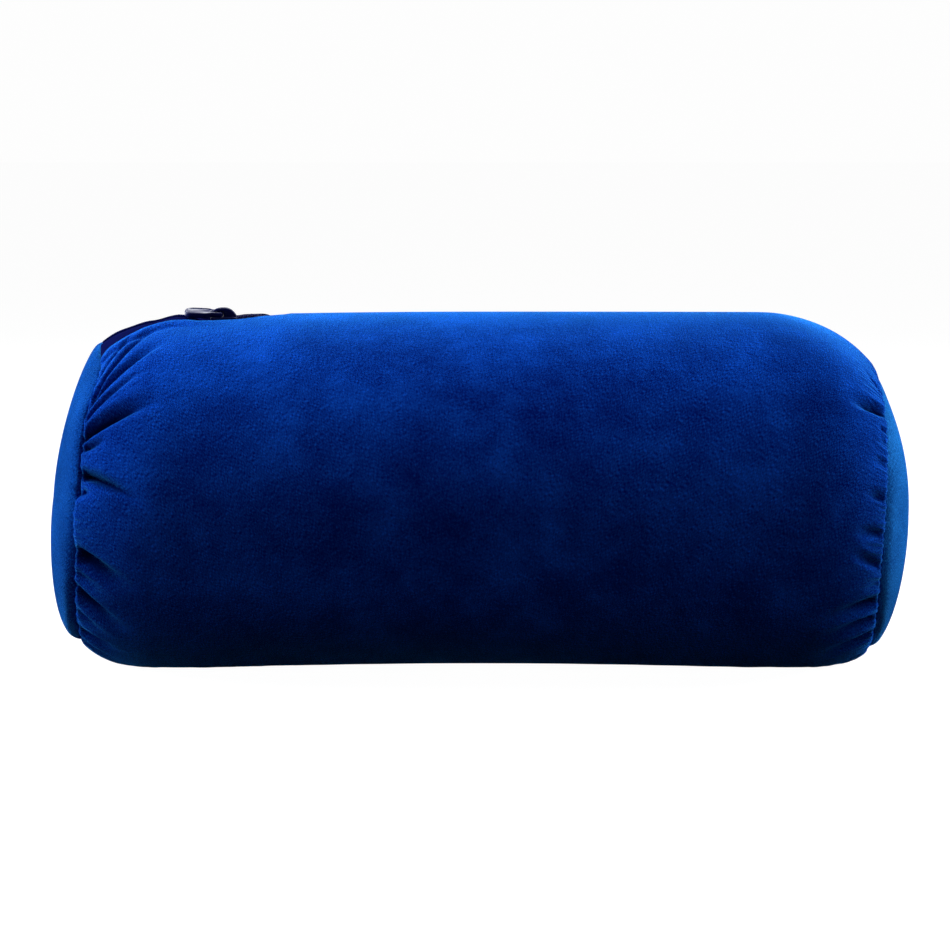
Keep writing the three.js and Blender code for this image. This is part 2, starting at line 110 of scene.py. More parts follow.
# %% The stage
LIGHTS = [  # name, place, what it faces, width and length in metres, watts
    ("overhead", (-0.12, 0.30, 0.90), (0.0, 0.0, 0.07), (0.7, 0.55), 1.5),
    ("overhead_back", (0.0, 0.60, 0.75), (0.0, 0.0, 0.07), (0.9, 0.4), 11.2),
    ("left_high", (-0.75, 0.05, 0.50), (-0.1, 0.0, 0.07), (0.4, 0.4), 8.6),
    ("left_back", (-0.80, 0.46, 0.20), (-0.1, 0.0, 0.07), (0.4, 0.3), 6.4),
    ("left_front", (-0.80, -0.26, 0.14), (-0.1, 0.0, 0.07), (0.4, 0.24), 1.5),
    ("right_high", (0.75, 0.10, 0.50), (0.1, 0.0, 0.07), (0.4, 0.4), 2.9),
    ("right_back", (0.78, 0.46, 0.18), (0.1, 0.0, 0.07), (0.4, 0.28), 13.0),
    ("right_front", (0.80, -0.20, 0.14), (0.1, 0.0, 0.07), (0.4, 0.24), 1.0),
    ("front_high", (0.0, -1.3, 1.0), (0.0, 0.0, 0.07), (1.2, 0.6), 2.0),
]


def turn_towards(light, target):
    """Turns a light so that its own -Z runs along the line from its place to the target."""
    line = light.location.copy()
    line.negate()
    for i in range(3):
        line[i] += target[i]
    light.rotation_euler = line.to_track_quat("-Z", "Y").to_euler()


for name, place, target, (width, length), watts in LIGHTS:
    light = bpy.data.objects.new(name, bpy.data.lights.new(name, "AREA"))
    light.data.shape = "RECTANGLE"
    light.data.size, light.data.size_y = width, length
    light.data.energy = watts
    light.location = place
    turn_towards(light, target)
    scene.collection.objects.link(light)

SURROUND = 0.985  # what the camera sees behind the pillow
MIRRORED = 0.12  # what glossy pieces mirror of it
AMBIENT = 0.004  # what it gives the velour

world = bpy.data.worlds.new("surround")
scene.world = world
world.use_nodes = True
sky = world.node_tree
sky.nodes.clear()
path = add(sky, "ShaderNodeLightPath")
glow = add(sky, "ShaderNodeBackground", Color=(1, 1, 1, 1), Strength=SURROUND)
mirrored = add(sky, "ShaderNodeBackground", Color=(1, 1, 1, 1), Strength=MIRRORED)
dim = add(sky, "ShaderNodeBackground", Color=(0.8, 0.9, 1, 1), Strength=AMBIENT)
lighting = add(sky, "ShaderNodeMixShader", Fac=path.outputs["Is Glossy Ray"])
sky.links.new(dim.outputs[0], lighting.inputs[1])
sky.links.new(mirrored.outputs[0], lighting.inputs[2])
seen = add(sky, "ShaderNodeMixShader", Fac=path.outputs["Is Camera Ray"])
sky.links.new(lighting.outputs[0], seen.inputs[1])
sky.links.new(glow.outputs[0], seen.inputs[2])
add(sky, "ShaderNodeOutputWorld", Surface=seen.outputs[0])

scene.view_settings.view_transform = "Standard"

FLOOR_SIZE = 12.0
floor_mesh = bpy.data.meshes.new("floor")
half = FLOOR_SIZE / 2
floor_mesh.from_pydata([(-half, -half, 0), (half, -half, 0), (half, half, 0), (-half, half, 0)], [], [(0, 1, 2, 3)])
floor = bpy.data.objects.new("floor", floor_mesh)
scene.collection.objects.link(floor)
floor_paint, floor_tree, floor_shader = material("matte_white_floor")
floor_shader.inputs["Base Color"].default_value = linear("#6a6c6e")
floor_shader.inputs["Roughness"].default_value = 0.95
floor_shader.inputs["Specular IOR Level"].default_value = 0.0
floor_shader.inputs["Emission Color"].default_value = (1, 1, 1, 1)
floor_shader.inputs["Emission Strength"].default_value = 0.975
floor.data.materials.append(floor_paint)
floor.visible_diffuse = False
floor.visible_glossy = False
print(len(LIGHTS), "soft lights and a floor")

# %% [markdown]
# ## The form of the roll
# A long bag of filling, laid on its side, is round at the top and presses flat underneath. Towards
# each end it turns in through a shoulder to a round seam, and past the seam the panel is a low dome.
# The whole form is one function of a place along the roll and an angle round it, in degrees from the
# crest, plus towards the back. Working out the surface, and not sculpting it, keeps it on the frame.

# %% Sizes of the roll, in millimetres
HEIGHT, WIDTH = 141.0, 152.0
SINK_MIDDLE, SINK_ENDS = 3.0, 6.4
CREST_DROP = {-1: 1.5, 1: 0.2}  # how much lower the crest is towards the left and the right end
SHIFT = -1.0  # the frame's origin is under the middle of its box
CLOTH = 2.0
PANEL_GAP = 0.6
LEFT = dict(
    side=-1, straight=(114, 128), arc=(60, 74), out=157.8, lean=(-4.3, 2.6),
    height=67.8, high=61.4, wide=62.5, bulge=15.1, root=(1.5, 1.35, 2.6), power=(1.6, 1.8, 2.6),
    pulls=((-32.0, 17.0, 3.4), (-98.0, 30.0, 1.1)),
)  # fmt: skip
RIGHT = dict(
    side=1, straight=(112, 130), arc=(64, 70), out=159.8, lean=(0.9, -2.6),
    height=60.4, high=57.6, wide=59.0, bulge=14.7, root=(0.85, 1.3, 2.0), power=(2.2, 1.9, 2.1),
    pulls=((-98.0, 34.0, 1.9),),
)  # fmt: skip
SEAM_DEPTH, SEAM_REACH, PANEL_REACH = 1.5, 2.6, 6.5
TURNED_IN, TURNED_REACH = 1.8, 1.3  # a panel's own edge goes down between the lobes by this, over this
SEAM_FLAT, SEAM_FLAT_WIDE = 0.6, 38.0  # over the crest the seam is drawn in less, by this share


def seam_depth(angle):
    """How deep the seam is drawn in: less over the crest, where both cloths lie flat."""
    return SEAM_DEPTH * (1 - SEAM_FLAT * np.exp(-((((angle + 180) % 360 - 180) / SEAM_FLAT_WIDE) ** 2)))


def mix(a, b, t):
    """From a at t = 0 to b at t = 1, in a straight line."""
    return a + (b - a) * t


def round_value(pair, angle):
    """One value at the crest that goes over to another underneath, as a cosine of the angle does."""
    return mix(pair[1], pair[0], (1 + np.cos(np.radians(angle))) / 2)


def fall(distance, reach):
    """One at no distance, down to nothing at the reach: (1 - distance / reach) squared."""
    return np.maximum(0, 1 - distance / reach) ** 2


def smooth(t):
    """An S curve from 0 at t = 0 to 1 at t = 1: t * t * (3 - 2 * t)."""
    t = np.clip(t, 0, 1)
    return t * t * (3 - 2 * t)


def section(x):
    """The round section at x: its half height, its middle's height and its half width."""
    along = np.minimum(1, (x / LEFT["straight"][0]) ** 2)
    crest = HEIGHT - np.where(x < 0, CREST_DROP[-1], CREST_DROP[1]) * along
    sink = mix(SINK_MIDDLE, SINK_ENDS, along)
    return (crest + sink) / 2, (crest - sink) / 2, WIDTH / 2 + 0 * along


def seam_place(end, angle, share=1.0):
    """How far out the seam is: leaning with the angle's cosine, more at the crest or underneath, and
    pulled in where the cloth is tight. Towards the panel's middle both wear off with the share."""
    tight = sum(pull * np.exp(-((((angle - at + 180) % 360 - 180) / wide) ** 2)) for at, wide, pull in end["pulls"])
    upright = np.cos(np.radians(angle))
    lean = np.where(upright > 0, end["lean"][0] * upright, -end["lean"][1] * upright)
    return end["out"] + lean * share - tight * share**6


def shoulder_ring(end, share, angle):
    """The ring at a share of the shoulder, 0 at the seam and 1 where the tube is straight: a circle's arc."""
    seam_out = seam_place(end, angle)
    start = round_value(end["straight"], angle)
    turn = np.radians(round_value(end["arc"], angle))
    full_high, full_height, full_wide = section(end["side"] * start)
    left = (np.cos((1 - share) * turn) - np.cos(turn)) / (1 - np.cos(turn))
    out = mix(start, seam_out, np.sin((1 - share) * turn) / np.sin(turn))
    return (
        end["side"] * out,
        mix(end["high"], full_high, left),
        mix(end["wide"], full_wide, left),
        mix(end["height"], full_height, left),
    )


def dome_ring(end, share, angle):
    """The ring at a share of the panel, 0 at the seam and 1 at its middle: (1 - c ** p) ** (1 / q) high.
    A q near 1 lets the panel carry on the shoulder's slope, and a higher q stands it up at the seam."""
    c = np.cos(share * np.pi / 2)
    upright = np.clip(np.cos(np.radians(angle)), 0, 1) ** 2
    underneath = np.clip(-np.cos(np.radians(angle)), 0, 1)
    root, power = (
        beside_it + (over - beside_it) * upright + (under - beside_it) * underneath
        for over, beside_it, under in (end["root"], end["power"])
    )
    bulge = end["bulge"] * (1 - c**power) ** (1 / root)
    out = seam_place(end, angle, c) + bulge
    return end["side"] * out, end["high"] * c, end["wide"] * c, end["height"] + 0 * out


def on_ring(ring, angle):
    """The point (x, wide * sin(angle), height + high * cos(angle)) of a ring."""
    x, high, wide, height, angle = np.broadcast_arrays(*ring, angle)
    turn = np.radians(angle)
    return np.stack([x, wide * np.sin(turn), height + high * np.cos(turn)], axis=-1)


def end_inside(end):
    """The point inside an end that its cloth is drawn in towards."""
    return np.array([end["side"] * (end["out"] - end["high"]), 0.0, end["height"]])


def unit(v):
    """A vector with its length taken out."""
    return v / np.maximum(np.linalg.norm(v, axis=-1, keepdims=True), 1e-9)


print("crest at", HEIGHT, "mm,", WIDTH, "mm deep")

# %% [markdown]
# ## The zip's line
# The slit for the zip wanders a little from the crest. Right of the slider the lips nearly close over
# the coil. Left of it they gape, because the zip runs flat into the end seam there.

# %% The zip's line: x, then degrees to its middle, to the front lip and to the back lip, then depth
ZIP_LINE = np.array([
    (-162, -8.2, 22.0, 18.0, 1.6),
    (-154, -7.0, 17.0, 18.0, 1.5),
    (-149, -5.5, 13.5, 18.0, 1.5),
    (-134, -3.5, 9.5, 17.0, 1.5),
    (-122, -2.6, 8.0, 14.0, 2.2),
    (-112, -2.0, 9.0, 11.0, 5.0),
    (-95, -2.0, 6.0, 9.0, 5.0),
    (-86, 1.0, 4.6, 6.5, 4.6),
    (-72, 5.0, 3.4, 3.6, 4.0),
    (116, 6.0, 3.4, 3.4, 4.0),
    (122, 6.0, 0.7, 0.7, 2.2),
    (175, 6.0, 0.6, 0.6, 1.8),
])  # fmt: skip
ZIP_END = 117.0


def zip_line(x):
    """The zip's values at x, straight between the rows of the table."""
    return [np.interp(x, ZIP_LINE[:, 0], ZIP_LINE[:, i]) for i in range(1, 5)]


# %% [markdown]
# ## Gathers
# The tube's edge is longer than the round seam it is sewn to, so the spare cloth stands in folds:
# deep tucks that run away from the seam, with plump lobes between them that hang over it. Each tuck
# here is a row: the angle and the distance from the seam at which it starts and ends, how deep and
# how wide it is. Small pleats near the stitching fill the space between the main tucks.

# %% Tucks: from angle, to angle, reach, depth, half width towards the crest, away from it, bow, softness
TUCKS_LEFT = np.array([
    (-43.0, -13.0, 24, 2.2, 2.4, 2.0, 4.5, 0.5),
    (-58.5, -37.0, 34, 2.8, 2.6, 2.2, 2.6, 0.45),
    (-53.0, -14.0, 32, 4.2, 4.0, 3.0, 6.5, 0.6),
    (-54.0, -24.0, 38, 5.6, 5.6, 2.6, 3.2, 0.45),
    (-63.6, -51.5, 42, 7.0, 5.8, 3.2, 1.8, 0.35),
    (-66.8, -64.0, 19, 4.6, 2.6, 2.8, 0.0, 0.2),
    (-76.0, -87.0, 40, 7.2, 4.2, 3.0, 2.0, 0.25),
    (-82.5, -82.0, 11, 3.0, 2.6, 2.4, 0.0, 0.2),
    (-88.0, -88.0, 7, 0.8, 2.0, 2.0, 0.0, 0.5),
    (-102.6, -113.0, 36, 5.6, 3.6, 7.5, 0.5, 0.75),
    (-111.0, -116.0, 22, 2.2, 2.6, 4.4, 0.0, 0.8),
    (-117.5, -131.0, 32, 5.2, 3.6, 7.0, 0.0, 0.75),
    (-129.0, -136.0, 22, 2.2, 2.4, 4.6, 0.0, 0.8),
    (-140.4, -144.0, 27, 4.6, 3.2, 6.0, 0.0, 0.75),
    (-150.4, -154.0, 24, 3.2, 2.6, 5.5, 0.0, 0.7),
    (-166.0, -169.0, 20, 2.0, 3.0, 5.0, 0.0, 0.5),
    (30.0, 21.0, 30, 2.4, 4.4, 2.6, 0.0, 0.5),
    (41.0, 29.0, 36, 3.8, 5.0, 3.0, 1.0, 0.5),
    (55.0, 53.0, 18, 2.2, 3.0, 3.0, 0.0, 0.3),
    (66.0, 60.0, 36, 5.2, 6.0, 3.4, -1.5, 0.4),
    (80.0, 82.0, 14, 2.4, 2.6, 3.0, 0.0, 0.3),
    (92.0, 97.0, 32, 4.8, 5.4, 3.2, -1.5, 0.4),
    (104.0, 105.0, 12, 1.8, 2.6, 2.6, 0.0, 0.3),
    (116.0, 123.0, 28, 4.0, 3.2, 6.0, 0.0, 0.7),
    (132.0, 138.0, 24, 3.4, 3.0, 5.6, 0.0, 0.7),
    (148.0, 154.0, 22, 2.8, 2.8, 5.0, 0.0, 0.7),
    (168.0, 172.0, 18, 2.0, 3.0, 5.0, 0.0, 0.5),
])  # fmt: skip
TUCKS_RIGHT = np.array([
    (-34.0, -24.5, 14, 1.6, 2.6, 2.2, 0.0, 0.5),
    (-43.0, -48.5, 26, 4.8, 4.8, 3.2, 0.0, 0.6),
    (-51.5, -52.0, 9, 2.2, 2.4, 2.2, 0.0, 0.3),
    (-57.0, -57.5, 9, 2.2, 2.4, 2.2, 0.0, 0.3),
    (-65.5, -66.5, 12, 1.8, 2.8, 2.4, 0.0, 0.7),
    (-78.5, -79.5, 16, 2.4, 3.0, 2.6, 0.0, 0.8),
    (-84.5, -85.0, 7, 1.0, 1.8, 1.8, 0.0, 0.3),
    (-91.5, -93.0, 21, 2.8, 2.8, 3.2, 0.0, 0.8),
    (-96.5, -97.0, 15, 0.9, 1.2, 1.6, 0.0, 0.5),
    (-99.5, -99.0, 14, 0.8, 1.2, 1.6, 0.0, 0.5),
    (-105.0, -99.5, 22, 2.9, 3.6, 2.8, 0.0, 0.8),
    (-111.0, -113.0, 12, 1.6, 2.4, 2.4, 0.0, 0.5),
    (-118.6, -123.5, 30, 3.9, 3.2, 5.2, 0.0, 0.75),
    (-127.4, -132.0, 30, 3.7, 3.0, 5.2, 0.0, 0.75),
    (-136.4, -143.5, 30, 3.6, 3.0, 6.0, 0.0, 0.75),
    (-154.0, -158.0, 20, 2.0, 2.4, 5.0, 0.0, 0.5),
    (24.0, 19.0, 24, 1.8, 3.4, 2.4, 0.0, 0.5),
    (37.0, 41.0, 26, 3.2, 4.0, 3.0, 0.0, 0.5),
    (48.0, 49.0, 10, 1.6, 2.4, 2.4, 0.0, 0.3),
    (59.0, 56.0, 20, 2.6, 3.4, 2.6, 0.0, 0.4),
    (73.0, 78.0, 26, 3.6, 4.0, 3.0, 0.0, 0.4),
    (84.0, 84.0, 9, 1.4, 2.2, 2.2, 0.0, 0.3),
    (95.0, 91.0, 20, 3.0, 3.4, 2.6, 0.0, 0.4),
    (112.0, 119.0, 26, 3.4, 2.8, 5.4, 0.0, 0.7),
    (124.0, 127.0, 12, 1.6, 2.0, 3.4, 0.0, 0.5),
    (137.0, 143.0, 24, 3.0, 2.8, 5.4, 0.0, 0.7),
    (158.0, 162.0, 20, 2.0, 2.6, 5.0, 0.0, 0.5),
])  # fmt: skip
ROUND_MM = 2 * np.pi * 66 / 360  # millimetres round the shoulder for each degree
EDGE_ROLL = 2.2  # the lobes turn in to the stitching over this much
HELD_SHARE, HELD_REACH = 0.22, 4.5  # the stitching lets a tuck be only this share of its depth, over this far
LOBE_LEFT = np.array([  # angle, and how far the lobes stand out there
    (-180, 1.0), (-150, 1.3), (-125, 1.3), (-112, 1.3), (-106, 1.3), (-99, 1.7), (-92, 2.1), (-87, 1.8),
    (-84.5, 0.4), (-82, -2.2), (-79.5, -2.4), (-77, -0.6), (-71, -0.3), (-64, -0.2), (-58, 0.4), (-40, 0.2), (-15, 0.3),
    (15, 0.6), (50, 2.0), (100, 3.0), (140, 2.0), (180, 1.0),
])  # fmt: skip
LOBE_RIGHT = np.array([
    (-180, 0.8), (-120, 1.0), (-100, 1.0), (-70, 1.2), (-50, 1.2), (-36, 0.8), (-20, 0.0),
    (20, 0.0), (40, 1.0), (90, 1.9), (140, 1.4), (180, 0.8),
])  # fmt: skip
LOBE_REACH = {-1: 20.0, 1: 16.0}
PLEATS = {-1: (5.0, 0.3, 11.0), 1: (3.6, 0.36, 15.0)}  # how wide, how deep, how far they run
CREASE_SOFT = 0.09  # keeps the bottom of a tuck from being sharper than the cloth is thick
FADE = 1.4  # higher values keep a tuck deep for longer before it runs out
SEWN_FLAT, SEWN_REACH = 1.15, 9.0  # the stitching holds a soft tuck flatter, by this much over this far
TUCK_BLEND = 3.0  # higher values keep neighbouring tucks more apart


def apart(a, b):
    """The difference of two angles, from -180 to 180 degrees."""
    return (a - b + 180) % 360 - 180


def tucked_in(end, distance, angle):
    """How far the tucks draw the cloth in. With n = 1 - off, where off is the way from a tuck's line over
    that side's half width, two round lobes meet in a crease of depth * (1 - sqrt(1 - n ** 2)). A soft tuck is
    a valley of depth * smooth(n) instead, and the softness mixes the two."""
    tucks = TUCKS_LEFT if end["side"] < 0 else TUCKS_RIGHT
    tucked = np.zeros_like(angle)
    for from_angle, to_angle, reach, deep, above, below, bow, soft in tucks:
        t = np.clip(distance / reach, 0, 1)
        line = mix(from_angle, to_angle, t) + bow * 4 * t * (1 - t)
        up = apart(angle, line) * np.where(line > 0, -1, 1) * ROUND_MM
        off = np.abs(up) / (np.where(up > 0, above, below) * (1 + 0.3 * t))
        near = np.clip(1 - (np.sqrt(off**2 + CREASE_SOFT**2) - CREASE_SOFT), 0, 1)
        across = mix(1 - np.sqrt(1 - near**2), smooth(near), soft)
        sewn_flat = 1 - SEWN_FLAT * soft * fall(distance, SEWN_REACH)
        tucked += (deep * (1 - smooth(t) ** FADE) * across * sewn_flat) ** TUCK_BLEND
    return tucked ** (1 / TUCK_BLEND)


def gathered(end, distance, angle):
    """How far the gathered cloth stands out from the smooth form, in millimetres, minus where it is tucked in."""
    heights = LOBE_LEFT if end["side"] < 0 else LOBE_RIGHT
    stands = np.interp(apart(angle, 0), heights[:, 0], heights[:, 1])
    lobe = stands * fall(distance, LOBE_REACH[end["side"]])
    wander = 1.3 * np.sin(np.radians(angle * 5 + 40)) + 0.9 * np.sin(np.radians(angle * 11 + 10))
    wide, deep, reach = PLEATS[end["side"]]
    pleat = deep * np.sin(angle * ROUND_MM / wide * 2 * np.pi + wander) * fall(distance, reach)
    edge = np.sqrt(np.clip(1 - np.maximum(0, 1 - distance / EDGE_ROLL) ** 2, 0, 1))
    held = mix(HELD_SHARE, 1, smooth(distance / HELD_REACH))
    return (lobe + pleat) * edge - tucked_in(end, distance, angle) * held


print(len(TUCKS_LEFT), "tucks on the left,", len(TUCKS_RIGHT), "on the right")

# %% [markdown]
# ## The tube
# One closed surface: the velour outside, the lips rolled over the zip, the trough under them, and the
# filling that carries on behind each panel. The grid has a row for each place along the roll and a
# column for each place round it, closer together where the folds are. Columns start at the zip's
# middle and go round by the back, so the lips have columns of their own.

# %% Rows and columns of the tube
SHOULDER_ROWS = {-1: 27, 1: 30}
straight_share = {  # rows between the shoulder and the even part, as shares of the way
    -1: np.linspace(0, 1, 15)[1:],
    1: np.linspace(0, 1, 9)[1:],
}
EVEN_FROM, EVEN_TO, EVEN_ROWS = -86.0, 92.0, 31
LIP_ROLL_TURNS = np.radians([0, 30, 60, 90, 120, 150])
NEAR_LIP = np.array([1.1, 2.2, 3.3, 4.3, 5.3, 6.3, 7.3, 8.3, 9.6, 11.4, 13.6])
FLOOR_SHARES = np.array([0.0, 0.45, 0.9])
ROUND_COLUMNS = 210
WELT = 6.3  # from a lip's edge to the line of stitching beside it
WELT_DEEP, WELT_HALF = 0.75, 0.95
WELT_TO, WELT_FADE = -112.0, 26.0  # the stitching shows as a groove only up to here
SLACK_DEEP, SLACK_REACH, SLACK_TO = 4.4, 40.0, -80.0  # behind the open zip the back lip lies lower
LIP_PUFF = (-123.0, 15.0, 1.3)  # the front lip stands up beside the open zip: where, how far along, how high
POCKET = (-110.2, -96.8, 1.5)  # room for the slider's lower plate: from, to, depth


def shoulder_rows(end):
    """Shares of the shoulder for its rows, a little closer together at the seam."""
    t = np.linspace(0, 1, SHOULDER_ROWS[end["side"]])
    return t * (0.72 + 0.28 * t)


def tube_rows():
    """Each row as (end or None, kind, value). Kinds: shoulder with its share, between with its share, even with x."""
    rows = [(LEFT, "shoulder", s) for s in shoulder_rows(LEFT)]
    rows += [(LEFT, "between", s) for s in straight_share[-1]]
    rows += [(None, "even", x) for x in np.linspace(EVEN_FROM, EVEN_TO, EVEN_ROWS)[1:-1]]
    rows += [(RIGHT, "between", s) for s in straight_share[1][::-1]]
    rows += [(RIGHT, "shoulder", s) for s in shoulder_rows(RIGHT)[::-1]]
    return rows


def row_ring(row, angle):
    """The smooth ring of a row."""
    end, kind, value = row
    if kind == "shoulder":
        return shoulder_ring(end, value, angle)
    if kind == "even":
        x = value + 0 * angle
    else:
        limit = EVEN_FROM if end["side"] < 0 else EVEN_TO
        x = mix(end["side"] * round_value(end["straight"], angle), limit, value)
    high, height, wide = section(x)
    return x, high, wide, height


def row_inside(row, ring):
    """Where the inside of the roll is, seen from a row."""
    end, kind, _ = row
    if kind == "shoulder":
        return end_inside(end)
    x, height = ring[0], ring[3]
    return np.stack([x, 0 * x, height + 0 * x], axis=-1)


def lip_side(width, deep):
    """Offsets in millimetres from a lip's edge, plus away from the zip, and insets, from the trough's middle out.
    The roll is a part circle round (0.7 * roll, roll)."""
    roll = np.clip(0.42 * (deep - 1.2) + 0.35, 0.35, 1.5)
    floor = [-(width + 0 * FLOOR_SHARES) * (1 - FLOOR_SHARES), deep + 0 * FLOOR_SHARES]
    turn = LIP_ROLL_TURNS[::-1]
    rolled = [0.7 * roll - roll * np.sin(turn), roll - roll * np.cos(turn)]
    near = [0.7 * roll + NEAR_LIP, 0 * NEAR_LIP]
    wall = [[0.05], [deep]]
    return [np.concatenate(part) for part in zip(floor, wall, rolled, near)]


def tube_columns(row):
    """Angles, insets and the distance from the nearest lip for a row's columns, from the zip's middle round by the back."""
    x_crest = float(row_ring(row, np.array(0.0))[0])
    centre, front, back, deep = zip_line(x_crest)
    degrees = 1 / (np.radians(1) * float(row_ring(row, np.array(0.0))[1]))
    pocket = POCKET[2] if POCKET[0] < x_crest < POCKET[1] else 0.0
    sides = []
    for width in (back, front):
        offset, inset = lip_side(width / degrees, deep)
        inset[: len(FLOOR_SHARES)] += pocket
        sides.append((width + offset * degrees, inset, offset))
    first = centre + sides[0][0][-1]
    last = centre - sides[1][0][-1] + 360
    around = mix(first, last, np.arange(1, ROUND_COLUMNS) / ROUND_COLUMNS)
    angle = np.concatenate([centre + sides[0][0], around, (centre + 360 - sides[1][0])[::-1][:-1]])
    inset = np.concatenate([sides[0][1], 0 * around, sides[1][1][::-1][:-1]])
    beside = np.concatenate([sides[0][2], 99 + 0 * around, sides[1][2][::-1][:-1]])
    return angle, inset, beside


rows = tube_rows()
columns = [tube_columns(row) for row in rows]
angles = np.array([c[0] for c in columns])
insets = np.array([c[1] for c in columns])
beside = np.array([c[2] for c in columns])
rings = [row_ring(row, angle) for row, angle in zip(rows, angles)]
smooth_form = np.array([on_ring(ring, angle) for ring, angle in zip(rings, angles)])
inside = np.array([unit(row_inside(r, g) - p) for r, g, p in zip(rows, rings, smooth_form)])
ROWS, COLUMNS = angles.shape
print("tube grid:", ROWS, "rows of", COLUMNS, "columns")


# %% [markdown]
# ### The gathered start
# The smooth form is moved in and out by the tucks, lobes and seams. Distances from a seam are
# measured along the cloth, row by row, so a fold keeps its length where the roll is curved.


# %% Distances along the cloth, and its outward direction
def grid_normals(points):
    """Unit outward directions of a grid closed round its columns: along the rows crossed with round them."""
    along = np.gradient(points, axis=0)
    around = np.roll(points, -1, axis=1) - np.roll(points, 1, axis=1)
    return unit(np.cross(along, around))


steps = np.linalg.norm(np.diff(smooth_form, axis=0), axis=-1)
zero = np.zeros((1, COLUMNS))
from_left = np.concatenate([zero, np.cumsum(steps, axis=0)])
from_right = np.concatenate([np.cumsum(steps[::-1], axis=0)[::-1], zero])
normals = grid_normals(smooth_form)

in_trough = beside < 0.2
near_zip = fall(np.maximum(0, beside - 1.5), 9.0) * (smooth_form[..., 0] < ZIP_END)
free = np.where(in_trough, 0.0, 1 - 0.8 * near_zip)
sewn = smooth((WELT_TO - smooth_form[..., 0]) / WELT_FADE)
welt = WELT_DEEP * np.exp(-(((beside - WELT) / WELT_HALF) ** 2)) * sewn
plump = 0.5 * np.exp(-(((beside - WELT / 2) / 2.2) ** 2)) * sewn
puffed = np.exp(-(((smooth_form[..., 0] - LIP_PUFF[0]) / LIP_PUFF[1]) ** 2))
plump += LIP_PUFF[2] * puffed * np.exp(-(((beside - 1.0) / 4.2) ** 2))
at_back = apart(angles, 0.0) > -2.0
slack = SLACK_DEEP * fall(beside.clip(0), SLACK_REACH) * at_back * smooth((SLACK_TO - smooth_form[..., 0]) / 8)
deepest = insets.max(axis=1, keepdims=True)
insets = np.where(in_trough & at_back, np.minimum(insets + slack, deepest), insets)
stand = np.where(in_trough, 0, np.where(at_back & (slack > 0), 0, plump) - welt - slack)
seam_in = seam_depth(angles) * np.maximum(fall(from_left, SEAM_REACH), fall(from_right, SEAM_REACH))
drawn_in = np.where(in_trough, np.maximum(insets, seam_in), insets + seam_in * (insets < 0.1))
base_form = smooth_form + inside * drawn_in[..., None] + normals * stand[..., None]
base_form[..., 2] = np.maximum(0, base_form[..., 2])


def with_gathers(base, left, right, angle, share):
    """A grid with the gathers of both ends on it, each moved along the grid's own outward direction."""
    stands = (gathered(LEFT, left, angle) + gathered(RIGHT, right, angle)) * share
    made = base + grid_normals(base) * stands[..., None]
    made[..., 2] = np.maximum(0, made[..., 2])
    return made


start_form = with_gathers(base_form, from_left, from_right, angles, free)
print("the gathers move the cloth by up to", round(float(np.abs(start_form - base_form).max()), 1), "mm")


# %% Meshes from grids
def mesh_piece(name, points, faces):
    """A piece from an array of points in millimetres in the roll's own frame, and a list of faces."""
    mesh = bpy.data.meshes.new(name)
    placed = (points.reshape(-1, 3) + np.array([SHIFT, 0, 0])) * MM
    mesh.from_pydata(placed.tolist(), [], [list(map(int, face)) for face in faces])
    mesh.shade_smooth()
    piece = bpy.data.objects.new(name, mesh)
    scene.collection.objects.link(piece)
    return piece


def grid_faces(rows_, columns_, closed=True, start=0):
    """Four-cornered faces of a grid, in order: along the rows first, so they face along rows x columns."""
    r = np.arange(rows_ - 1)[:, None]
    c = np.arange(columns_ if closed else columns_ - 1)[None, :]
    a = start + r * columns_ + c
    b = start + r * columns_ + (c + 1) % columns_
    return np.stack([a, a + columns_, b + columns_, b], axis=-1).reshape(-1, 4)


# %% [markdown]
# ### Letting the cloth settle
# The worked-out folds are too regular, so Blender's Cloth settles the two ends. The cloth's own cut
# is a plain cylinder, longer round than the seam that holds it: that spare length is what makes
# gathers. The seams, the lips and the middle are pinned, the filling's pressure pushes from inside,
# and no point may move further than a few millimetres. Gravity is off, because the filling carries
# the cloth.

# %% Settling
CAP = 1.6
HELD_TUCK = 0.8  # stitches hold the cloth wherever it is tucked in by more than this
SETTLE_FRAMES = 16


def settle(grid, cut, pinned, pressure):
    """Runs Cloth on a grid closed round its columns and returns the settled points, in millimetres."""
    shape = grid.shape
    cloth = mesh_piece("settling", grid, grid_faces(shape[0], shape[1]))
    cloth.shape_key_add(name="basis")
    rest = cloth.shape_key_add(name="cut")
    rest.data.foreach_set("co", (cut * MM).astype(np.float32).ravel())
    group = cloth.vertex_groups.new(name="held")
    flat = pinned.ravel()
    for level in np.unique(flat[flat > 0]):
        group.add(np.flatnonzero(flat == level).tolist(), float(level), "REPLACE")
    made = cloth.modifiers.new("cloth", "CLOTH")
    made.settings.vertex_group_mass = "held"
    made.settings.rest_shape_key = rest
    made.settings.quality = 6
    made.settings.mass = 0.3
    made.settings.tension_stiffness = 20
    made.settings.compression_stiffness = 20
    made.settings.shear_stiffness = 8
    made.settings.bending_stiffness = 0.6
    made.settings.tension_damping = 10
    made.settings.compression_damping = 10
    made.settings.use_pressure = True
    made.settings.uniform_pressure_force = pressure
    made.settings.effector_weights.gravity = 0
    made.collision_settings.use_collision = False
    made.point_cache.frame_start = 1
    made.point_cache.frame_end = SETTLE_FRAMES
    for number in range(1, SETTLE_FRAMES + 1):
        scene.frame_set(number)
    ready = cloth.evaluated_get(bpy.context.evaluated_depsgraph_get())
    found = np.empty(len(ready.data.vertices) * 3, np.float32)
    ready.data.vertices.foreach_get("co", found)
    scene.frame_set(1)
    bpy.data.objects.remove(cloth)
    return found.reshape(shape).astype(float) / MM - np.array([SHIFT, 0, 0])


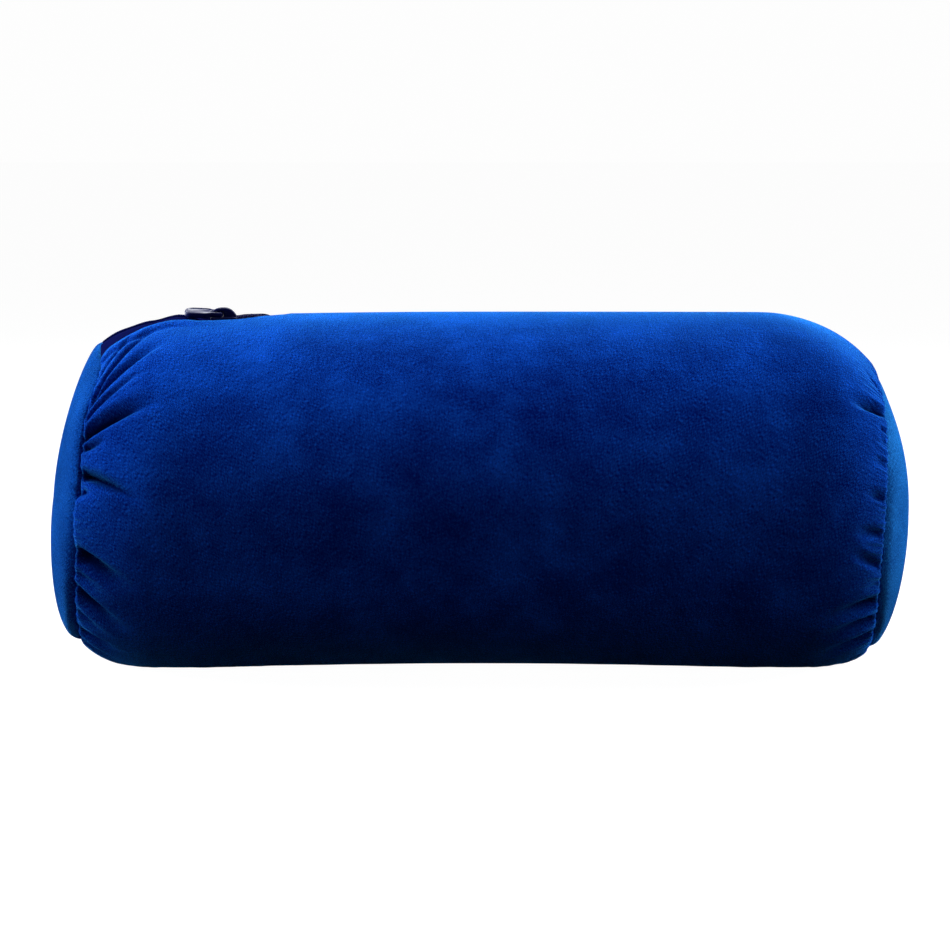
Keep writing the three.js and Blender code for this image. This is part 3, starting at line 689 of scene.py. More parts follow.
def cut_cylinder():
    """The tube's cut as a cylinder: x is the distance along the cloth, and round it each point is at its own share."""
    along = from_left - from_left[ROWS // 2] + smooth_form[ROWS // 2, :, 0]
    edge = np.linalg.norm(np.roll(start_form, -1, axis=1) - start_form, axis=-1)
    middle = edge[ROWS // 2]
    share = 2 * np.pi * np.cumsum(np.roll(middle, 1)) / middle.sum()
    radius = middle.sum() / (2 * np.pi)
    turn = share[None, :] + 0 * along
    return np.stack([along, radius * np.sin(turn), 70 + radius * np.cos(turn)], axis=-1)


ends = np.minimum(from_left, from_right)
tucks = tucked_in(LEFT, from_left, angles) + tucked_in(RIGHT, from_right, angles)
held = np.where((ends < 0.5) | (beside < WELT + 1.5) | (ends > 62) | (tucks > HELD_TUCK), 1.0, 0.0)
moved = settle(start_form, cut_cylinder(), held, 4.0) - start_form
size = np.linalg.norm(moved, axis=-1, keepdims=True)
moved *= np.minimum(1, CAP / np.maximum(size, 1e-6))
print("settled by up to", round(float(size.max()), 1), "mm, capped to", CAP)

# %% [markdown]
# ### The finished tube
# The filling closes the tube behind the panels and a fan of triangles closes each pole. One level of
# subdivision rounds the grid off. It is worked out here and not by the modifier, which is slow at a
# pole where hundreds of edges meet. A map of millimetres along and round the cloth goes with the mesh,
# for the pile to follow.

# %% The tube
CORE_SHARES = np.array([0.03, 0.08, 0.15, 0.25, 0.4, 0.58, 0.78])


def panel_points(end, share, angle, inset):
    """Points under or on an end panel, drawn in at its seam."""
    smooth_points = on_ring(dome_ring(end, share, angle), angle)
    edge = on_ring(dome_ring(end, 0 * share, angle), angle)
    distance = np.linalg.norm(smooth_points - edge, axis=-1)
    inward = unit(end_inside(end) - smooth_points)
    turned = TURNED_IN * fall(distance, TURNED_REACH) * seam_depth(angle) / SEAM_DEPTH
    depth = seam_depth(angle) * fall(distance, PANEL_REACH) + turned + inset
    points = smooth_points + inward * depth[..., None]
    points[..., 2] = np.maximum(0, points[..., 2])
    return points, distance


def core(end, row_angles):
    """The filling behind a panel, from its seam in to its middle."""
    share = CORE_SHARES[:, None] + 0 * row_angles[None, :]
    turn = row_angles[None, :] + 0 * share
    room = CLOTH + np.where(share < 0.1, 2.4, PANEL_GAP + 0.2)
    return panel_points(end, share, turn, room)[0]


def finer_rows(grid):
    """One cubic subdivision down the rows: old points (a + 6 b + c) / 8, new ones halfway, ends kept."""
    kept = grid.copy()
    kept[1:-1] = (grid[:-2] + 6 * grid[1:-1] + grid[2:]) / 8
    between = (grid[:-1] + grid[1:]) / 2
    made = np.empty((2 * len(grid) - 1, *grid.shape[1:]))
    made[::2], made[1::2] = kept, between
    return made


def finer(grid):
    """One subdivision both ways of a grid closed round its columns."""
    wide = grid.shape[1]
    turned = np.swapaxes(np.concatenate([grid[:, -2:], grid, grid[:, :2]], axis=1), 0, 1)
    round_ = np.swapaxes(finer_rows(turned), 0, 1)[:, 4 : 4 + 2 * wide]
    return finer_rows(round_)


def between(values, turn=0.0):
    """Values on the finer grid: halfway ones both ways between neighbours, with turn added where columns close."""
    following = np.roll(values, -1, axis=1)
    following[:, -1] += turn
    wide = np.empty((len(values), 2 * values.shape[1]))
    wide[:, ::2], wide[:, 1::2] = values, (values + following) / 2
    tall = np.empty((2 * len(values) - 1, wide.shape[1]))
    tall[::2], tall[1::2] = wide, (wide[:-1] + wide[1:]) / 2
    return tall


def with_core(values, left, right):
    """A grid's values with rows for the core behind each panel put before and after them."""
    return np.concatenate([left + 0 * left_core[..., 0], values, right + 0 * right_core[..., 0]])


left_core = core(LEFT, angles[0])[::-1]
right_core = core(RIGHT, angles[-1])
body = finer(np.concatenate([left_core, base_form, right_core]))
body_angle = between(with_core(angles, angles[0], angles[-1]), 360.0)
body_left, body_right = between(with_core(from_left, 0, 999)), between(with_core(from_right, 999, 0))
body_free = between(with_core(free, 0, 0))
body = with_gathers(body, body_left, body_right, body_angle, body_free)
# How deep the tucks are, which paints shade into the velour's colour: painted crease shade, darkest in the deepest
# tucks
crease_shade = (tucked_in(LEFT, body_left, body_angle) + tucked_in(RIGHT, body_right, body_angle)) * body_free
body += finer(np.concatenate([0 * left_core, moved, 0 * right_core]))
body[..., 2] = np.maximum(0, body[..., 2])
poles = np.array([panel_points(e, np.array(1.0), np.array(0.0), CLOTH + 1.0)[0] for e in (LEFT, RIGHT)])
body_rows, body_columns = body.shape[:2]
faces = grid_faces(body_rows, body_columns).tolist()
first_pole = body_rows * body_columns
around = np.arange(body_columns)
beyond = (around + 1) % body_columns
last_row = (body_rows - 1) * body_columns
faces += np.stack([first_pole + 0 * around, around, beyond], axis=-1).tolist()
faces += np.stack([last_row + around, first_pole + 1 + 0 * around, last_row + beyond], axis=-1).tolist()
tube = mesh_piece("velour_tube", np.concatenate([body.reshape(-1, 3), poles]), faces)


def add_map(piece, along, round_):
    """A UV map named cloth, in millimetres, from a value along and round for each vertex."""
    mesh = piece.data
    corner = np.empty(len(mesh.loops), np.int32)
    mesh.loops.foreach_get("vertex_index", corner)
    uv = np.stack([along.ravel()[corner], round_.ravel()[corner]], axis=-1)
    layer = mesh.uv_layers.new(name="cloth")
    layer.data.foreach_set("uv", uv.astype(np.float32).ravel())


def fix_wrap(piece, whole):
    """Where a face crosses the map's end, its low corners move on by one whole turn."""
    layer = piece.data.uv_layers["cloth"]
    uv = np.empty(len(layer.data) * 2, np.float32)
    layer.data.foreach_get("uv", uv)
    uv = uv.reshape(-1, 2)
    starts = np.empty(len(piece.data.polygons), np.int32)
    totals = np.empty(len(piece.data.polygons), np.int32)
    piece.data.polygons.foreach_get("loop_start", starts)
    piece.data.polygons.foreach_get("loop_total", totals)
    owner = np.repeat(np.arange(len(starts)), totals)
    high = np.full(len(starts), -np.inf)
    np.maximum.at(high, owner, uv[:, 1])
    low = high[owner] - uv[:, 1] > whole / 2
    uv[low, 1] += whole
    layer.data.foreach_set("uv", uv.ravel())


WHOLE_ROUND = 471.0
CRIMP_REACH = (26.0, 30.0)  # fine wrinkles run from the seams this far: left, right
CREASE_SHADE_FULL = 3.5  # millimetres of tuck at which the painted crease shade is at its darkest
x_along = from_left - from_left[ROWS // 2]
x_along = between(np.concatenate([left_core[..., 0], x_along, right_core[..., 0]]))
add_map(
    tube,
    np.append(x_along.ravel(), [0.0, 0.0]),
    np.append(body_angle.ravel() / 360 * WHOLE_ROUND, [0.0, 0.0]),
)
fix_wrap(tube, WHOLE_ROUND)
# The painted crease shade, as a share from 0 to 1 for each point
crease_shade_layer = tube.data.attributes.new("crease_shade", "FLOAT", "POINT")
crease_shade_layer.data.foreach_set("value", np.append((crease_shade / CREASE_SHADE_FULL).clip(0, 1).ravel(), [0.0, 0.0]).astype(np.float32))
LINED_TO, LINED_LIP, LINED_TAPER = -87.0, 3.4, 9.0  # where the zip's facing begins to show, and how far over the lip
face_of = np.array(faces[: (body_rows - 1) * body_columns])[:, 0]
body_beside = between(with_core(beside, 99, 99)).ravel()[face_of]
at_x = body[..., 0].ravel()[face_of]
behind = (apart(body_angle, 0.0) > -2.0).ravel()[face_of]
over_lip = np.where(behind, mix(0.3, LINED_LIP, smooth((LINED_TO - at_x) / LINED_TAPER)), 0.3)
lined = (at_x < LINED_TO) & (body_beside < over_lip) & (body_beside > -90)
facing = np.zeros(len(faces), np.int32)
facing[: len(lined)] = lined
tube.data.polygons.foreach_set("material_index", facing)
near_seam = np.maximum(fall(body_left, CRIMP_REACH[0]), fall(body_right, CRIMP_REACH[1])) * body_free
crimps = tube.data.attributes.new("crimp", "FLOAT", "POINT")
crimps.data.foreach_set("value", np.append(near_seam.ravel(), [0.0, 0.0]).astype(np.float32))
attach(tube, "root")
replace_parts(tube, "tube")
print("tube:", len(tube.data.polygons), "faces")

# %% [markdown]
# ## The end panels
# A disc of velour, domed by the filling and drawn in all round by the gathers beside it. It is a
# sheet 2 mm thick with its edge turned in: an outer and an inner surface that meet at the seam.

# %% The end panels
PANEL_RINGS, PANEL_COLUMNS = 56, 288
PUCKER, PUCKER_REACH = 0.2, 11.0


def end_panel(end, name):
    """A domed disc: rings from the seam in to the middle, outside and inside, each closed by a pole."""
    t = np.linspace(0, 1, PANEL_RINGS + 1)[:-1]
    share = (0.985 * t * (0.3 + 0.7 * t))[:, None]
    turn = (np.arange(PANEL_COLUMNS) * 360 / PANEL_COLUMNS)[None, :] + 0 * share
    share = share + 0 * turn
    flat_points, distance = panel_points(end, share, turn, 0 * turn)
    wave = np.sin(np.radians(turn * 23 + 60 * np.sin(np.radians(turn * 3)))) + 0.6 * np.sin(np.radians(turn * 41))
    pucker = PUCKER * wave * fall(distance, PUCKER_REACH) * smooth(distance / 2.5)
    outer = panel_points(end, share, turn, pucker)[0]
    inner = panel_points(end, share, turn, pucker + CLOTH)[0]
    outer[0, :, 0] += end["side"] * PANEL_GAP
    inner[0, :, 0] += end["side"] * PANEL_GAP
    grid = np.concatenate([inner[::-1], outer])
    tips = np.array([panel_points(end, np.array(1.0), np.array(0.0), inset)[0] for inset in (CLOTH, 0.0)])
    count = len(grid)
    faces = grid_faces(count, PANEL_COLUMNS)
    tip = count * PANEL_COLUMNS
    a = np.arange(PANEL_COLUMNS)
    b = (a + 1) % PANEL_COLUMNS
    last = (count - 1) * PANEL_COLUMNS
    fans = np.concatenate([
        np.stack([tip + 0 * a, a, b], axis=-1),
        np.stack([last + a, tip + 1 + 0 * a, last + b], axis=-1),
    ])  # fmt: skip
    if end["side"] < 0:
        faces, fans = faces[:, ::-1], fans[:, ::-1]
    piece = mesh_piece(name, np.concatenate([grid.reshape(-1, 3), tips]), faces.tolist() + fans.tolist())
    from_seam = np.concatenate([0 * outer[:1, :, 0], np.linalg.norm(np.diff(outer, axis=0), axis=-1).cumsum(axis=0)])
    middle = from_seam[-1:] + 2.0
    flat_cut = np.concatenate([(middle - from_seam)[::-1], middle - from_seam])
    angle = np.concatenate([turn, turn])
    add_map(
        piece,
        np.append((flat_cut * np.sin(np.radians(angle))).ravel(), [0.0, 0.0]),
        np.append((flat_cut * np.cos(np.radians(angle))).ravel(), [0.0, 0.0]),
    )
    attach(piece, "root")
    return piece


left_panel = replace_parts(end_panel(LEFT, "velour_panel_left"), "end_panel_left")
right_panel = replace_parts(end_panel(RIGHT, "velour_panel_right"), "end_panel_right")

# %% [markdown]
# ## The zip's tapes
# Two woven polyester tapes lie in the trough, close together right of the slider and parted left of
# it. Each is a flat strip with rounded edges, carried along the zip's line.

# %% The bed that the zip lies in
GAP = 0.3
TAPE_THICK = 0.9
TAPE_PARTED = 1.6
POST_WIDE = 1.5
SLIDER_LONG = 10.4


def zip_rows(from_x, to_x, step):
    """Rows of the roll at even steps between two places of the crest. Each row's own ring is used as it is."""
    x = np.arange(from_x, to_x + step / 2, step)
    start = round_value(LEFT["straight"], 0.0)
    shares = np.linspace(0.02, 1, 400)
    crest = shoulder_ring(LEFT, shares, np.zeros(400))[0]
    found = []
    for place in x:
        if place < -start:
            found.append((LEFT, "shoulder", float(np.interp(place, crest, shares))))
        else:
            found.append((None, "even", float(place)))
    return found


def over_zip(row, aside, high):
    """A point over the zip's bed: aside in millimetres from the zip's middle line, plus to the back, and high above it."""
    crest_x = float(row_ring(row, np.array(0.0))[0])
    centre, _, _, deep = zip_line(crest_x)
    aside, high = np.broadcast_arrays(np.asarray(aside, float), np.asarray(high, float))
    angle = centre + np.degrees(aside / float(row_ring(row, np.array(centre))[1]))
    ring = row_ring(row, angle)
    points = on_ring(ring, angle)
    inward = unit(row_inside(row, ring) - points)
    groove = 0.0
    if row[1] == "shoulder":
        edge = on_ring(shoulder_ring(row[0], 0.0, angle), angle)
        groove = seam_depth(angle) * fall(np.linalg.norm(points - edge, axis=-1), SEAM_REACH)
    return points + inward * (np.maximum(deep, groove) - high)[..., None]


ZIP_LIFT = np.array([(-132, 0), (-119, 2.0), (-110, 1.6), (-98, 1.4), (-92, 1.8), (-84, 0)])


def lift(x):
    """How far the slider's pull raises tapes and coil off their bed at x."""
    return np.interp(x, ZIP_LIFT[:, 0], ZIP_LIFT[:, 1])


def tape_inner_edge(x):
    """From the zip's middle line to a tape's inner edge: close right of the slider, parted left of it."""
    opened = mix(POST_WIDE / 2 + GAP, TAPE_PARTED, np.clip((POCKET[0] - x) / SLIDER_LONG, 0, 1))
    return np.where(x > POCKET[1], GAP / 2, opened)


def tape(lip):
    """One tape: a flat strip's section, 0.9 mm thick with rounded edges, carried along the zip."""
    sign = -1 if lip == "front" else 1
    strip = zip_rows(-153.0, ZIP_END - 0.6, 1.7)
    grid, along, across = [], [], []
    shares = np.linspace(0, 1, 9)
    for row in strip:
        x = float(row_ring(row, np.array(0.0))[0])
        centre, front, back, _ = zip_line(x)
        width = np.radians(front if sign < 0 else back) * float(row_ring(row, np.array(centre))[1]) - GAP
        inner = float(tape_inner_edge(np.array(x)))
        aside = mix(inner, width, shares)
        ripple = 0.12 * np.sin(x * 0.55 + sign) * np.sin(shares * 3.1)
        top = GAP + TAPE_THICK - 0.12 * (np.abs(shares * 2 - 1) ** 6) + ripple
        low = GAP + 0 * shares
        loop_aside = np.concatenate([aside, [width + 0.12], aside[::-1], [inner - 0.06]])
        loop_high = np.concatenate([top, [GAP + TAPE_THICK / 2], low, [GAP + TAPE_THICK / 2]])
        grid.append(over_zip(row, sign * loop_aside, loop_high + lift(x)))
        along.append(x + 0 * loop_aside)
        across.append(loop_aside)
    grid, along, across = np.array(grid), np.array(along), np.array(across)
    count, wide = grid.shape[:2]
    faces = grid_faces(count, wide)
    caps = [list(range(wide)), list(range((count - 1) * wide, count * wide))[::-1]]
    if sign < 0:
        faces = faces[:, ::-1]
        caps = [cap[::-1] for cap in caps]
    made = mesh_piece("zip_tape_" + lip + "_cloth", grid, faces.tolist() + caps)
    add_map(made, along, across)
    length = float(np.linalg.norm(np.diff(grid[:, 4], axis=0), axis=-1).sum()) * MM
    broad = float(np.mean([np.ptp(row) for row in across])) * MM
    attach(made, "root")
    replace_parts(made, "zip_tape_" + lip)
    print("tape at the", lip, "is", round(length / MM), "mm long and", round(broad / MM, 1), "mm wide on the whole")
    return made


front_tape, back_tape = tape("front"), tape("back")

# %% [markdown]
# ## The coil
# A nylon coil zip is one thin plastic thread wound into a spring on each tape's edge. The two springs
# lie half a turn apart, so that they hook into each other. A helix carried along the zip gives each.

# %% The coil
COIL_PITCH = 1.35
WIRE = 0.31
TURN_POINTS, WIRE_SIDES = 10, 6


def wire_along(centre_line, radius, sides):
    """A round wire of a radius along a line of points (n, 3): rings at right angles to the line, closed at both ends."""
    tangent = unit(np.gradient(centre_line, axis=0))
    side = unit(np.cross(tangent, np.array([0.31, 0.17, 0.93])))
    up = np.cross(side, tangent)
    turn = 2 * np.pi * np.arange(sides) / sides
    ring = np.cos(turn)[None, :, None] * side[:, None] + np.sin(turn)[None, :, None] * up[:, None]
    points = centre_line[:, None] + radius * ring
    faces = grid_faces(len(centre_line), sides)[:, ::-1].tolist()
    caps = [list(range(sides)), [len(centre_line) * sides - 1 - i for i in range(sides)]]
    return points.reshape(-1, 3), faces + caps


def coil_line(from_x, to_x, aside, sign, phase, high):
    """A helix along the zip: aside and high each go round once a pitch. aside and high are (middle, reach)."""
    turns = int((to_x - from_x) / COIL_PITCH)
    t = np.arange(turns * TURN_POINTS + 1) / TURN_POINTS
    x = from_x + t * COIL_PITCH
    angle = 2 * np.pi * (t + phase)
    return x, sign * (aside[0] + aside[1] * np.cos(angle)), high[0] + high[1] * np.sin(angle)


def zip_points(x, aside, high):
    """Points over the zip's bed for arrays of x, aside and high, on the bed's own curve."""
    place = np.linspace(x.min() - 2, x.max() + 2, 120)
    bed = [zip_rows(p, p, 1.0)[0] for p in place]
    frames = np.array([over_zip(row, np.array([0.0, 0.0, 1.0]), np.array([0.0, 1.0, 0.0])) for row in bed])
    crest = np.array([float(row_ring(row, np.array(0.0))[0]) for row in bed])
    base = np.stack([np.interp(x, crest, frames[:, 0, i]) for i in range(3)], axis=-1)
    up = np.stack([np.interp(x, crest, frames[:, 1, i] - frames[:, 0, i]) for i in range(3)], axis=-1)
    out = np.stack([np.interp(x, crest, frames[:, 2, i] - frames[:, 0, i]) for i in range(3)], axis=-1)
    return base + up * (high + lift(x))[:, None] + out * aside[:, None]


def joined(parts):
    """Several (points, faces) as one."""
    points, faces, start = [], [], 0
    for part_points, part_faces in parts:
        points.append(part_points)
        faces += [[start + i for i in face] for face in part_faces]
        start += len(part_points)
    return np.concatenate(points), faces


LOW = 2 * GAP + TAPE_THICK
CLOSED_FROM = -97.6
parts = []
for sign, phase in ((-1, 0.0), (1, 0.5)):
    closed = coil_line(CLOSED_FROM, ZIP_END - 2.5, (0.98, 1.0), sign, phase, (LOW + 0.85, 0.52))
    parts.append(wire_along(zip_points(*closed), WIRE, WIRE_SIDES))
    thread = coil_line(CLOSED_FROM, ZIP_END - 2.5, (1.5, 0.05), sign, phase, (LOW + 1.62, 0.1))
    parts.append(wire_along(zip_points(*thread), 0.14, 4))
chain = mesh_piece("zip_coil_closed", *joined(parts))
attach(chain, "root")
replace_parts(chain, "zip_chain")

parts = []
for sign, phase in ((-1, 0.0), (1, 0.5)):
    opened = coil_line(-149.0, -112.5, (1.3, 0.4), sign, phase, (GAP, 0.22))
    parts.append(wire_along(zip_points(*opened), 0.2, WIRE_SIDES))
open_coil = mesh_piece("zip_coil_open", *joined(parts))
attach(open_coil, "root")
print("coil:", len(chain.data.polygons) + len(open_coil.data.polygons), "faces")

# %% [markdown]
# ## The slider and its puller
# Both are cast in zinc and enamelled, so every edge is soft. The slider's plates, rims, post and
# bridge are closed solids put together and remeshed into one skin, which melts their edges into each
# other as the casting and the enamel do. The puller is a flat tab: its section is carried round from
# the eye's edge to the tab's outline.

# %% The slider's own frame
SLIDER_X = -103.4
SLIDER = dict(long=10.4, wide=7.6, tail=5.8, plate=0.9, corner=1.1, rim=0.7, rim_deep=0.8)
BRIDGE = dict(long=10.8, rise=4.1, bar=1.6, wide=2.4)
UPPER_UNDER = 3 * GAP + TAPE_THICK + 1.7
UPPER_TOP = UPPER_UNDER + SLIDER["plate"]
slider_row = (None, "even", SLIDER_X)
slider_lean = np.radians(zip_line(SLIDER_X)[0])
slider_bed = over_zip(slider_row, 0.0, 0.0)


def slider_place(points):
    """From the slider's own frame, X along the zip and Z out of the roll, to the roll's frame."""
    c, s = np.cos(slider_lean), np.sin(slider_lean)
    x, y, z = points[..., 0], points[..., 1], points[..., 2]
    return np.stack([x, y * c + z * s, z * c - y * s], axis=-1) + slider_bed


def slab(outline, low, high):
    """A closed solid: an outline (n, 2) pushed up from low to high, with a fan over and under."""
    n = len(outline)
    rings = [np.column_stack([outline, np.full(n, z)]) for z in (low, high)]
    middle = outline.mean(axis=0)
    points = np.concatenate(rings + [[[*middle, low]], [[*middle, high]]])
    a = np.arange(n)
    b = (a + 1) % n
    sides = np.stack([a, b, b + n, a + n], axis=-1).tolist()
    under = np.stack([np.full(n, 2 * n), b, a], axis=-1).tolist()
    over = np.stack([np.full(n, 2 * n + 1), a + n, b + n], axis=-1).tolist()
    return points, sides + under + over


def rounded_corners(corners, radius, steps=6):
    """An outline with each corner of a convex, anticlockwise polygon turned through a quadratic bend."""
    corners = np.asarray(corners, float)
    before, after = np.roll(corners, 1, axis=0), np.roll(corners, -1, axis=0)
    a = corners + unit(before - corners) * radius
    b = corners + unit(after - corners) * radius
    t = np.linspace(0, 1, steps)[None, :, None]
    bend = (1 - t) ** 2 * a[:, None] + 2 * t * (1 - t) * corners[:, None] + t**2 * b[:, None]
    return bend.reshape(-1, 2)


# %% The slider
VOXEL = 0.14
half_long, half_wide, half_tail = SLIDER["long"] / 2, SLIDER["wide"] / 2, SLIDER["tail"] / 2
plate_outline = rounded_corners(
    [(-half_long, -half_wide), (half_long, -half_tail), (half_long, half_tail), (-half_long, half_wide)],
    SLIDER["corner"] * 1.3,
)
parts = [slab(plate_outline, -SLIDER["plate"], 0.0), slab(plate_outline, UPPER_UNDER, UPPER_TOP)]
for side in (-1, 1):
    corners = np.array([
        (-half_long + 1.1, side * (half_wide - 0.7)),
        (half_long - 1.1, side * (half_tail - 0.7)),
        (half_long - 1.1, side * half_tail),
        (-half_long + 1.1, side * half_wide),
    ])  # fmt: skip
    bar = slab(corners if side > 0 else corners[::-1], UPPER_UNDER - SLIDER["rim_deep"], UPPER_UNDER + 0.45)
    parts.append(bar)
post = np.array([(-half_long + 0.5, 0.0), (-half_long + 1.7, -0.75), (-half_long + 2.9, 0.0), (-half_long + 1.7, 0.75)])
parts.append(slab(post, -0.45, UPPER_UNDER + 0.45))
BOSS = [(-0.15, -1.0), (3.6, -1.0), (3.6, 1.0), (-0.15, 1.0)]
parts.append(slab(rounded_corners(BOSS, 0.5), UPPER_TOP - 0.3, UPPER_TOP + 2.1))
arch_turn = np.linspace(-0.05, np.pi + 0.05, 40)
reach = BRIDGE["long"] / 2 - BRIDGE["bar"] / 2
rise = BRIDGE["rise"] - BRIDGE["bar"] / 2
arch = np.column_stack([
    -reach * np.sign(np.cos(arch_turn)) * np.abs(np.cos(arch_turn)) ** 0.85,
    0 * arch_turn,
    UPPER_TOP + rise * (np.abs(np.sin(arch_turn)) ** np.where(arch_turn > np.pi / 2, 1.6, 0.8) - 0.05),
])  # fmt: skip


def strap_along(line, wide, thick, sides=12):
    """A strap with an oval section, carried along a line in the XZ plane: wide across, thick in the plane."""
    tangent = unit(np.gradient(line, axis=0))
    out = np.cross(tangent, np.array([0.0, 1.0, 0.0]))
    turn = 2 * np.pi * np.arange(sides) / sides
    y = np.sign(np.cos(turn)) * np.abs(np.cos(turn)) ** 0.6 * wide / 2
    z = np.sign(np.sin(turn)) * np.abs(np.sin(turn)) ** 0.6 * thick / 2
    points = line[:, None] + y[None, :, None] * np.array([0.0, 1.0, 0.0]) + z[None, :, None] * out[:, None]
    faces = grid_faces(len(line), sides).tolist()
    caps = [list(range(sides))[::-1], [(len(line) - 1) * sides + i for i in range(sides)]]
    return points.reshape(-1, 3), faces + caps


parts.append(strap_along(arch, BRIDGE["wide"], BRIDGE["bar"]))
slider_points, slider_faces = joined(parts)
slider = mesh_piece("zip_slider_cast", slider_place(slider_points), slider_faces)


def outside_in(piece):
    """Makes a piece's faces all point outwards."""
    bpy.context.view_layer.objects.active = piece
    piece.select_set(True)
    bpy.ops.object.mode_set(mode="EDIT")
    bpy.ops.mesh.select_all(action="SELECT")
    bpy.ops.mesh.normals_make_consistent(inside=False)
    bpy.ops.object.mode_set(mode="OBJECT")
    piece.select_set(False)


outside_in(slider)
skin = slider.modifiers.new("skin", "REMESH")
skin.mode = "VOXEL"
skin.voxel_size = VOXEL * MM
skin.use_smooth_shade = True
soften = slider.modifiers.new("soften", "SMOOTH")
soften.factor, soften.iterations = 0.5, 4
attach(slider, "root")
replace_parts(slider, "zip_slider")

# %% The puller
PULLER = dict(long=15.6, wide=8.2, neck=5.6, neck_long=4.0, thick=2.1, edge=0.5)
EYE = (-3.0, 1.7, 1.4)  # its middle, half length and half width
HANG = dict(roll=9.0, pitch=2.0, high=1.3, back=0.2)


def oval(turn, middle, half_x, half_y, power):
    """A rounded rectangle: each of cosine and sine to the power 2 / power."""
    c, s = np.cos(turn), np.sin(turn)
    x = middle + half_x * np.sign(c) * np.abs(c) ** (2 / power)
    return np.stack([x, half_y * np.sign(s) * np.abs(s) ** (2 / power)], axis=-1)


def tab_half_width(x):
    """The tab's half width at x: the neck round the eye, then wider towards its free end, which is round."""
    neck, wide = PULLER["neck"] / 2, PULLER["wide"] / 2
    body = mix(neck, wide, smooth((-x - PULLER["neck_long"]) / 3.4))
    near = np.sqrt(np.clip(1 - ((x + 1.2) / 1.2).clip(0, 1) ** 2.6, 0, 1))
    far = (np.clip(1 - ((-x - PULLER["long"] + 3.4) / 3.4).clip(0, 1) ** 2.6, 0, 1)) ** (1 / 2.6)
    return body * near * far


def tab_outline(count):
    """The tab's outline, evenly spaced points from the eye's end round by the back, anticlockwise from above."""
    x = -PULLER["long"] * (1 - np.cos(np.linspace(0, np.pi, 400))) / 2
    upper = np.column_stack([x, tab_half_width(x)])
    loop = np.concatenate([upper, upper[::-1][1:-1] * [1, -1]])
    steps_ = np.linalg.norm(np.diff(np.concatenate([loop, loop[:1]]), axis=0), axis=1)
    s = np.concatenate([[0], np.cumsum(steps_)])
    even = np.linspace(0, s[-1], count, endpoint=False)
    closed_loop = np.concatenate([loop, loop[:1]])
    return np.column_stack([np.interp(even, s, closed_loop[:, i]) for i in (0, 1)])


TAB_POINTS = 120
outline = tab_outline(TAB_POINTS)
eye_turn = np.arctan2(outline[:, 1], (outline[:, 0] - EYE[0]) * 0.45)
eye = oval(eye_turn, *EYE, 4.0)
edge, thick = PULLER["edge"], PULLER["thick"] / 2
span = np.linalg.norm(outline - eye, axis=1)
outer_way = unit(outline - eye)
quarter = np.linspace(0, np.pi / 2, 5)
section_in = [(edge * (1 - np.sin(q)), thick - edge + edge * np.cos(q)) for q in quarter[::-1]]
section_top = [(edge + 0.4, thick), (edge + 0.75, thick - 0.3)]
dish = [(0.5, thick - 0.18)]
loops = []
for inset_mm, z in section_in + section_top:
    loops.append(np.column_stack([eye + outer_way * inset_mm, np.full(TAB_POINTS, z)]))
loops.append(np.column_stack([mix(eye, outline, 0.5), np.full(TAB_POINTS, thick - 0.32)]))
for inset_mm, z in (section_in + section_top)[::-1]:
    loops.append(np.column_stack([outline - outer_way * inset_mm, np.full(TAB_POINTS, z)]))
for inset_mm, z in section_in[:-1] and [(a, -b) for a, b in section_in]:
    loops.append(np.column_stack([outline - outer_way * inset_mm, np.full(TAB_POINTS, z)]))
for inset_mm, z in [(a, -b) for a, b in section_in][::-1]:
    loops.append(np.column_stack([eye + outer_way * inset_mm, np.full(TAB_POINTS, z)]))
tab = np.array(loops)
roll, pitch = np.radians(HANG["roll"]), np.radians(HANG["pitch"])
cr, sr, cp, sp = np.cos(roll), np.sin(roll), np.cos(pitch), np.sin(pitch)
x, y, z = tab[..., 0], tab[..., 1] * cr - tab[..., 2] * sr, tab[..., 1] * sr + tab[..., 2] * cr
tab = np.stack([x * cp + z * sp, y, z * cp - x * sp], axis=-1)
tab += np.array([-HANG["back"], 0.0, UPPER_TOP + HANG["high"]])
tab_faces = grid_faces(len(tab) + 1, TAB_POINTS) % (len(tab) * TAB_POINTS)
puller = mesh_piece("zip_puller_cast", slider_place(tab), tab_faces.tolist())
outside_in(puller)
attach(puller, "root")
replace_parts(puller, "zip_puller")
print("puller:", len(puller.data.polygons), "faces")

# %% [markdown]
# ## Velour
# Velour is a knitted polyester with a short cut pile. Seen square on it swallows light, and seen along
# the surface the standing fibres catch it, so it is dark in the middle and bright along every turning
# edge: a rough, nearly black blue with a strong blue sheen. The pile lies in tiny flecks, about
# 0.4 mm across and 1.5 mm long, and it is brushed this way and that in soft patches.

# %% Velour
FLECK_WIDE, FLECK_LONG = 0.13, 0.75
NAP_PATCH = 30.0
NAP = 0.075
CRIMP, CRIMP_DEEP = (9.0, 1.8), 1.4  # the fine wrinkles by the seams: long, wide and high


def fleck_noise(tree, cloth_map, turned):
    """Noise drawn out along the pile, which lies turned by some degrees from round the piece."""
    place = add(
        tree, "ShaderNodeMapping", {"vector_type": "TEXTURE"}, Vector=cloth_map,
        Rotation=(0, 0, np.radians(turned)),
        Scale=(FLECK_WIDE, FLECK_LONG, 1),
    )  # fmt: skip
    return add(tree, "ShaderNodeTexNoise", Vector=place.outputs[0], Scale=0.62, Detail=1.2, Roughness=0.6).outputs[0]


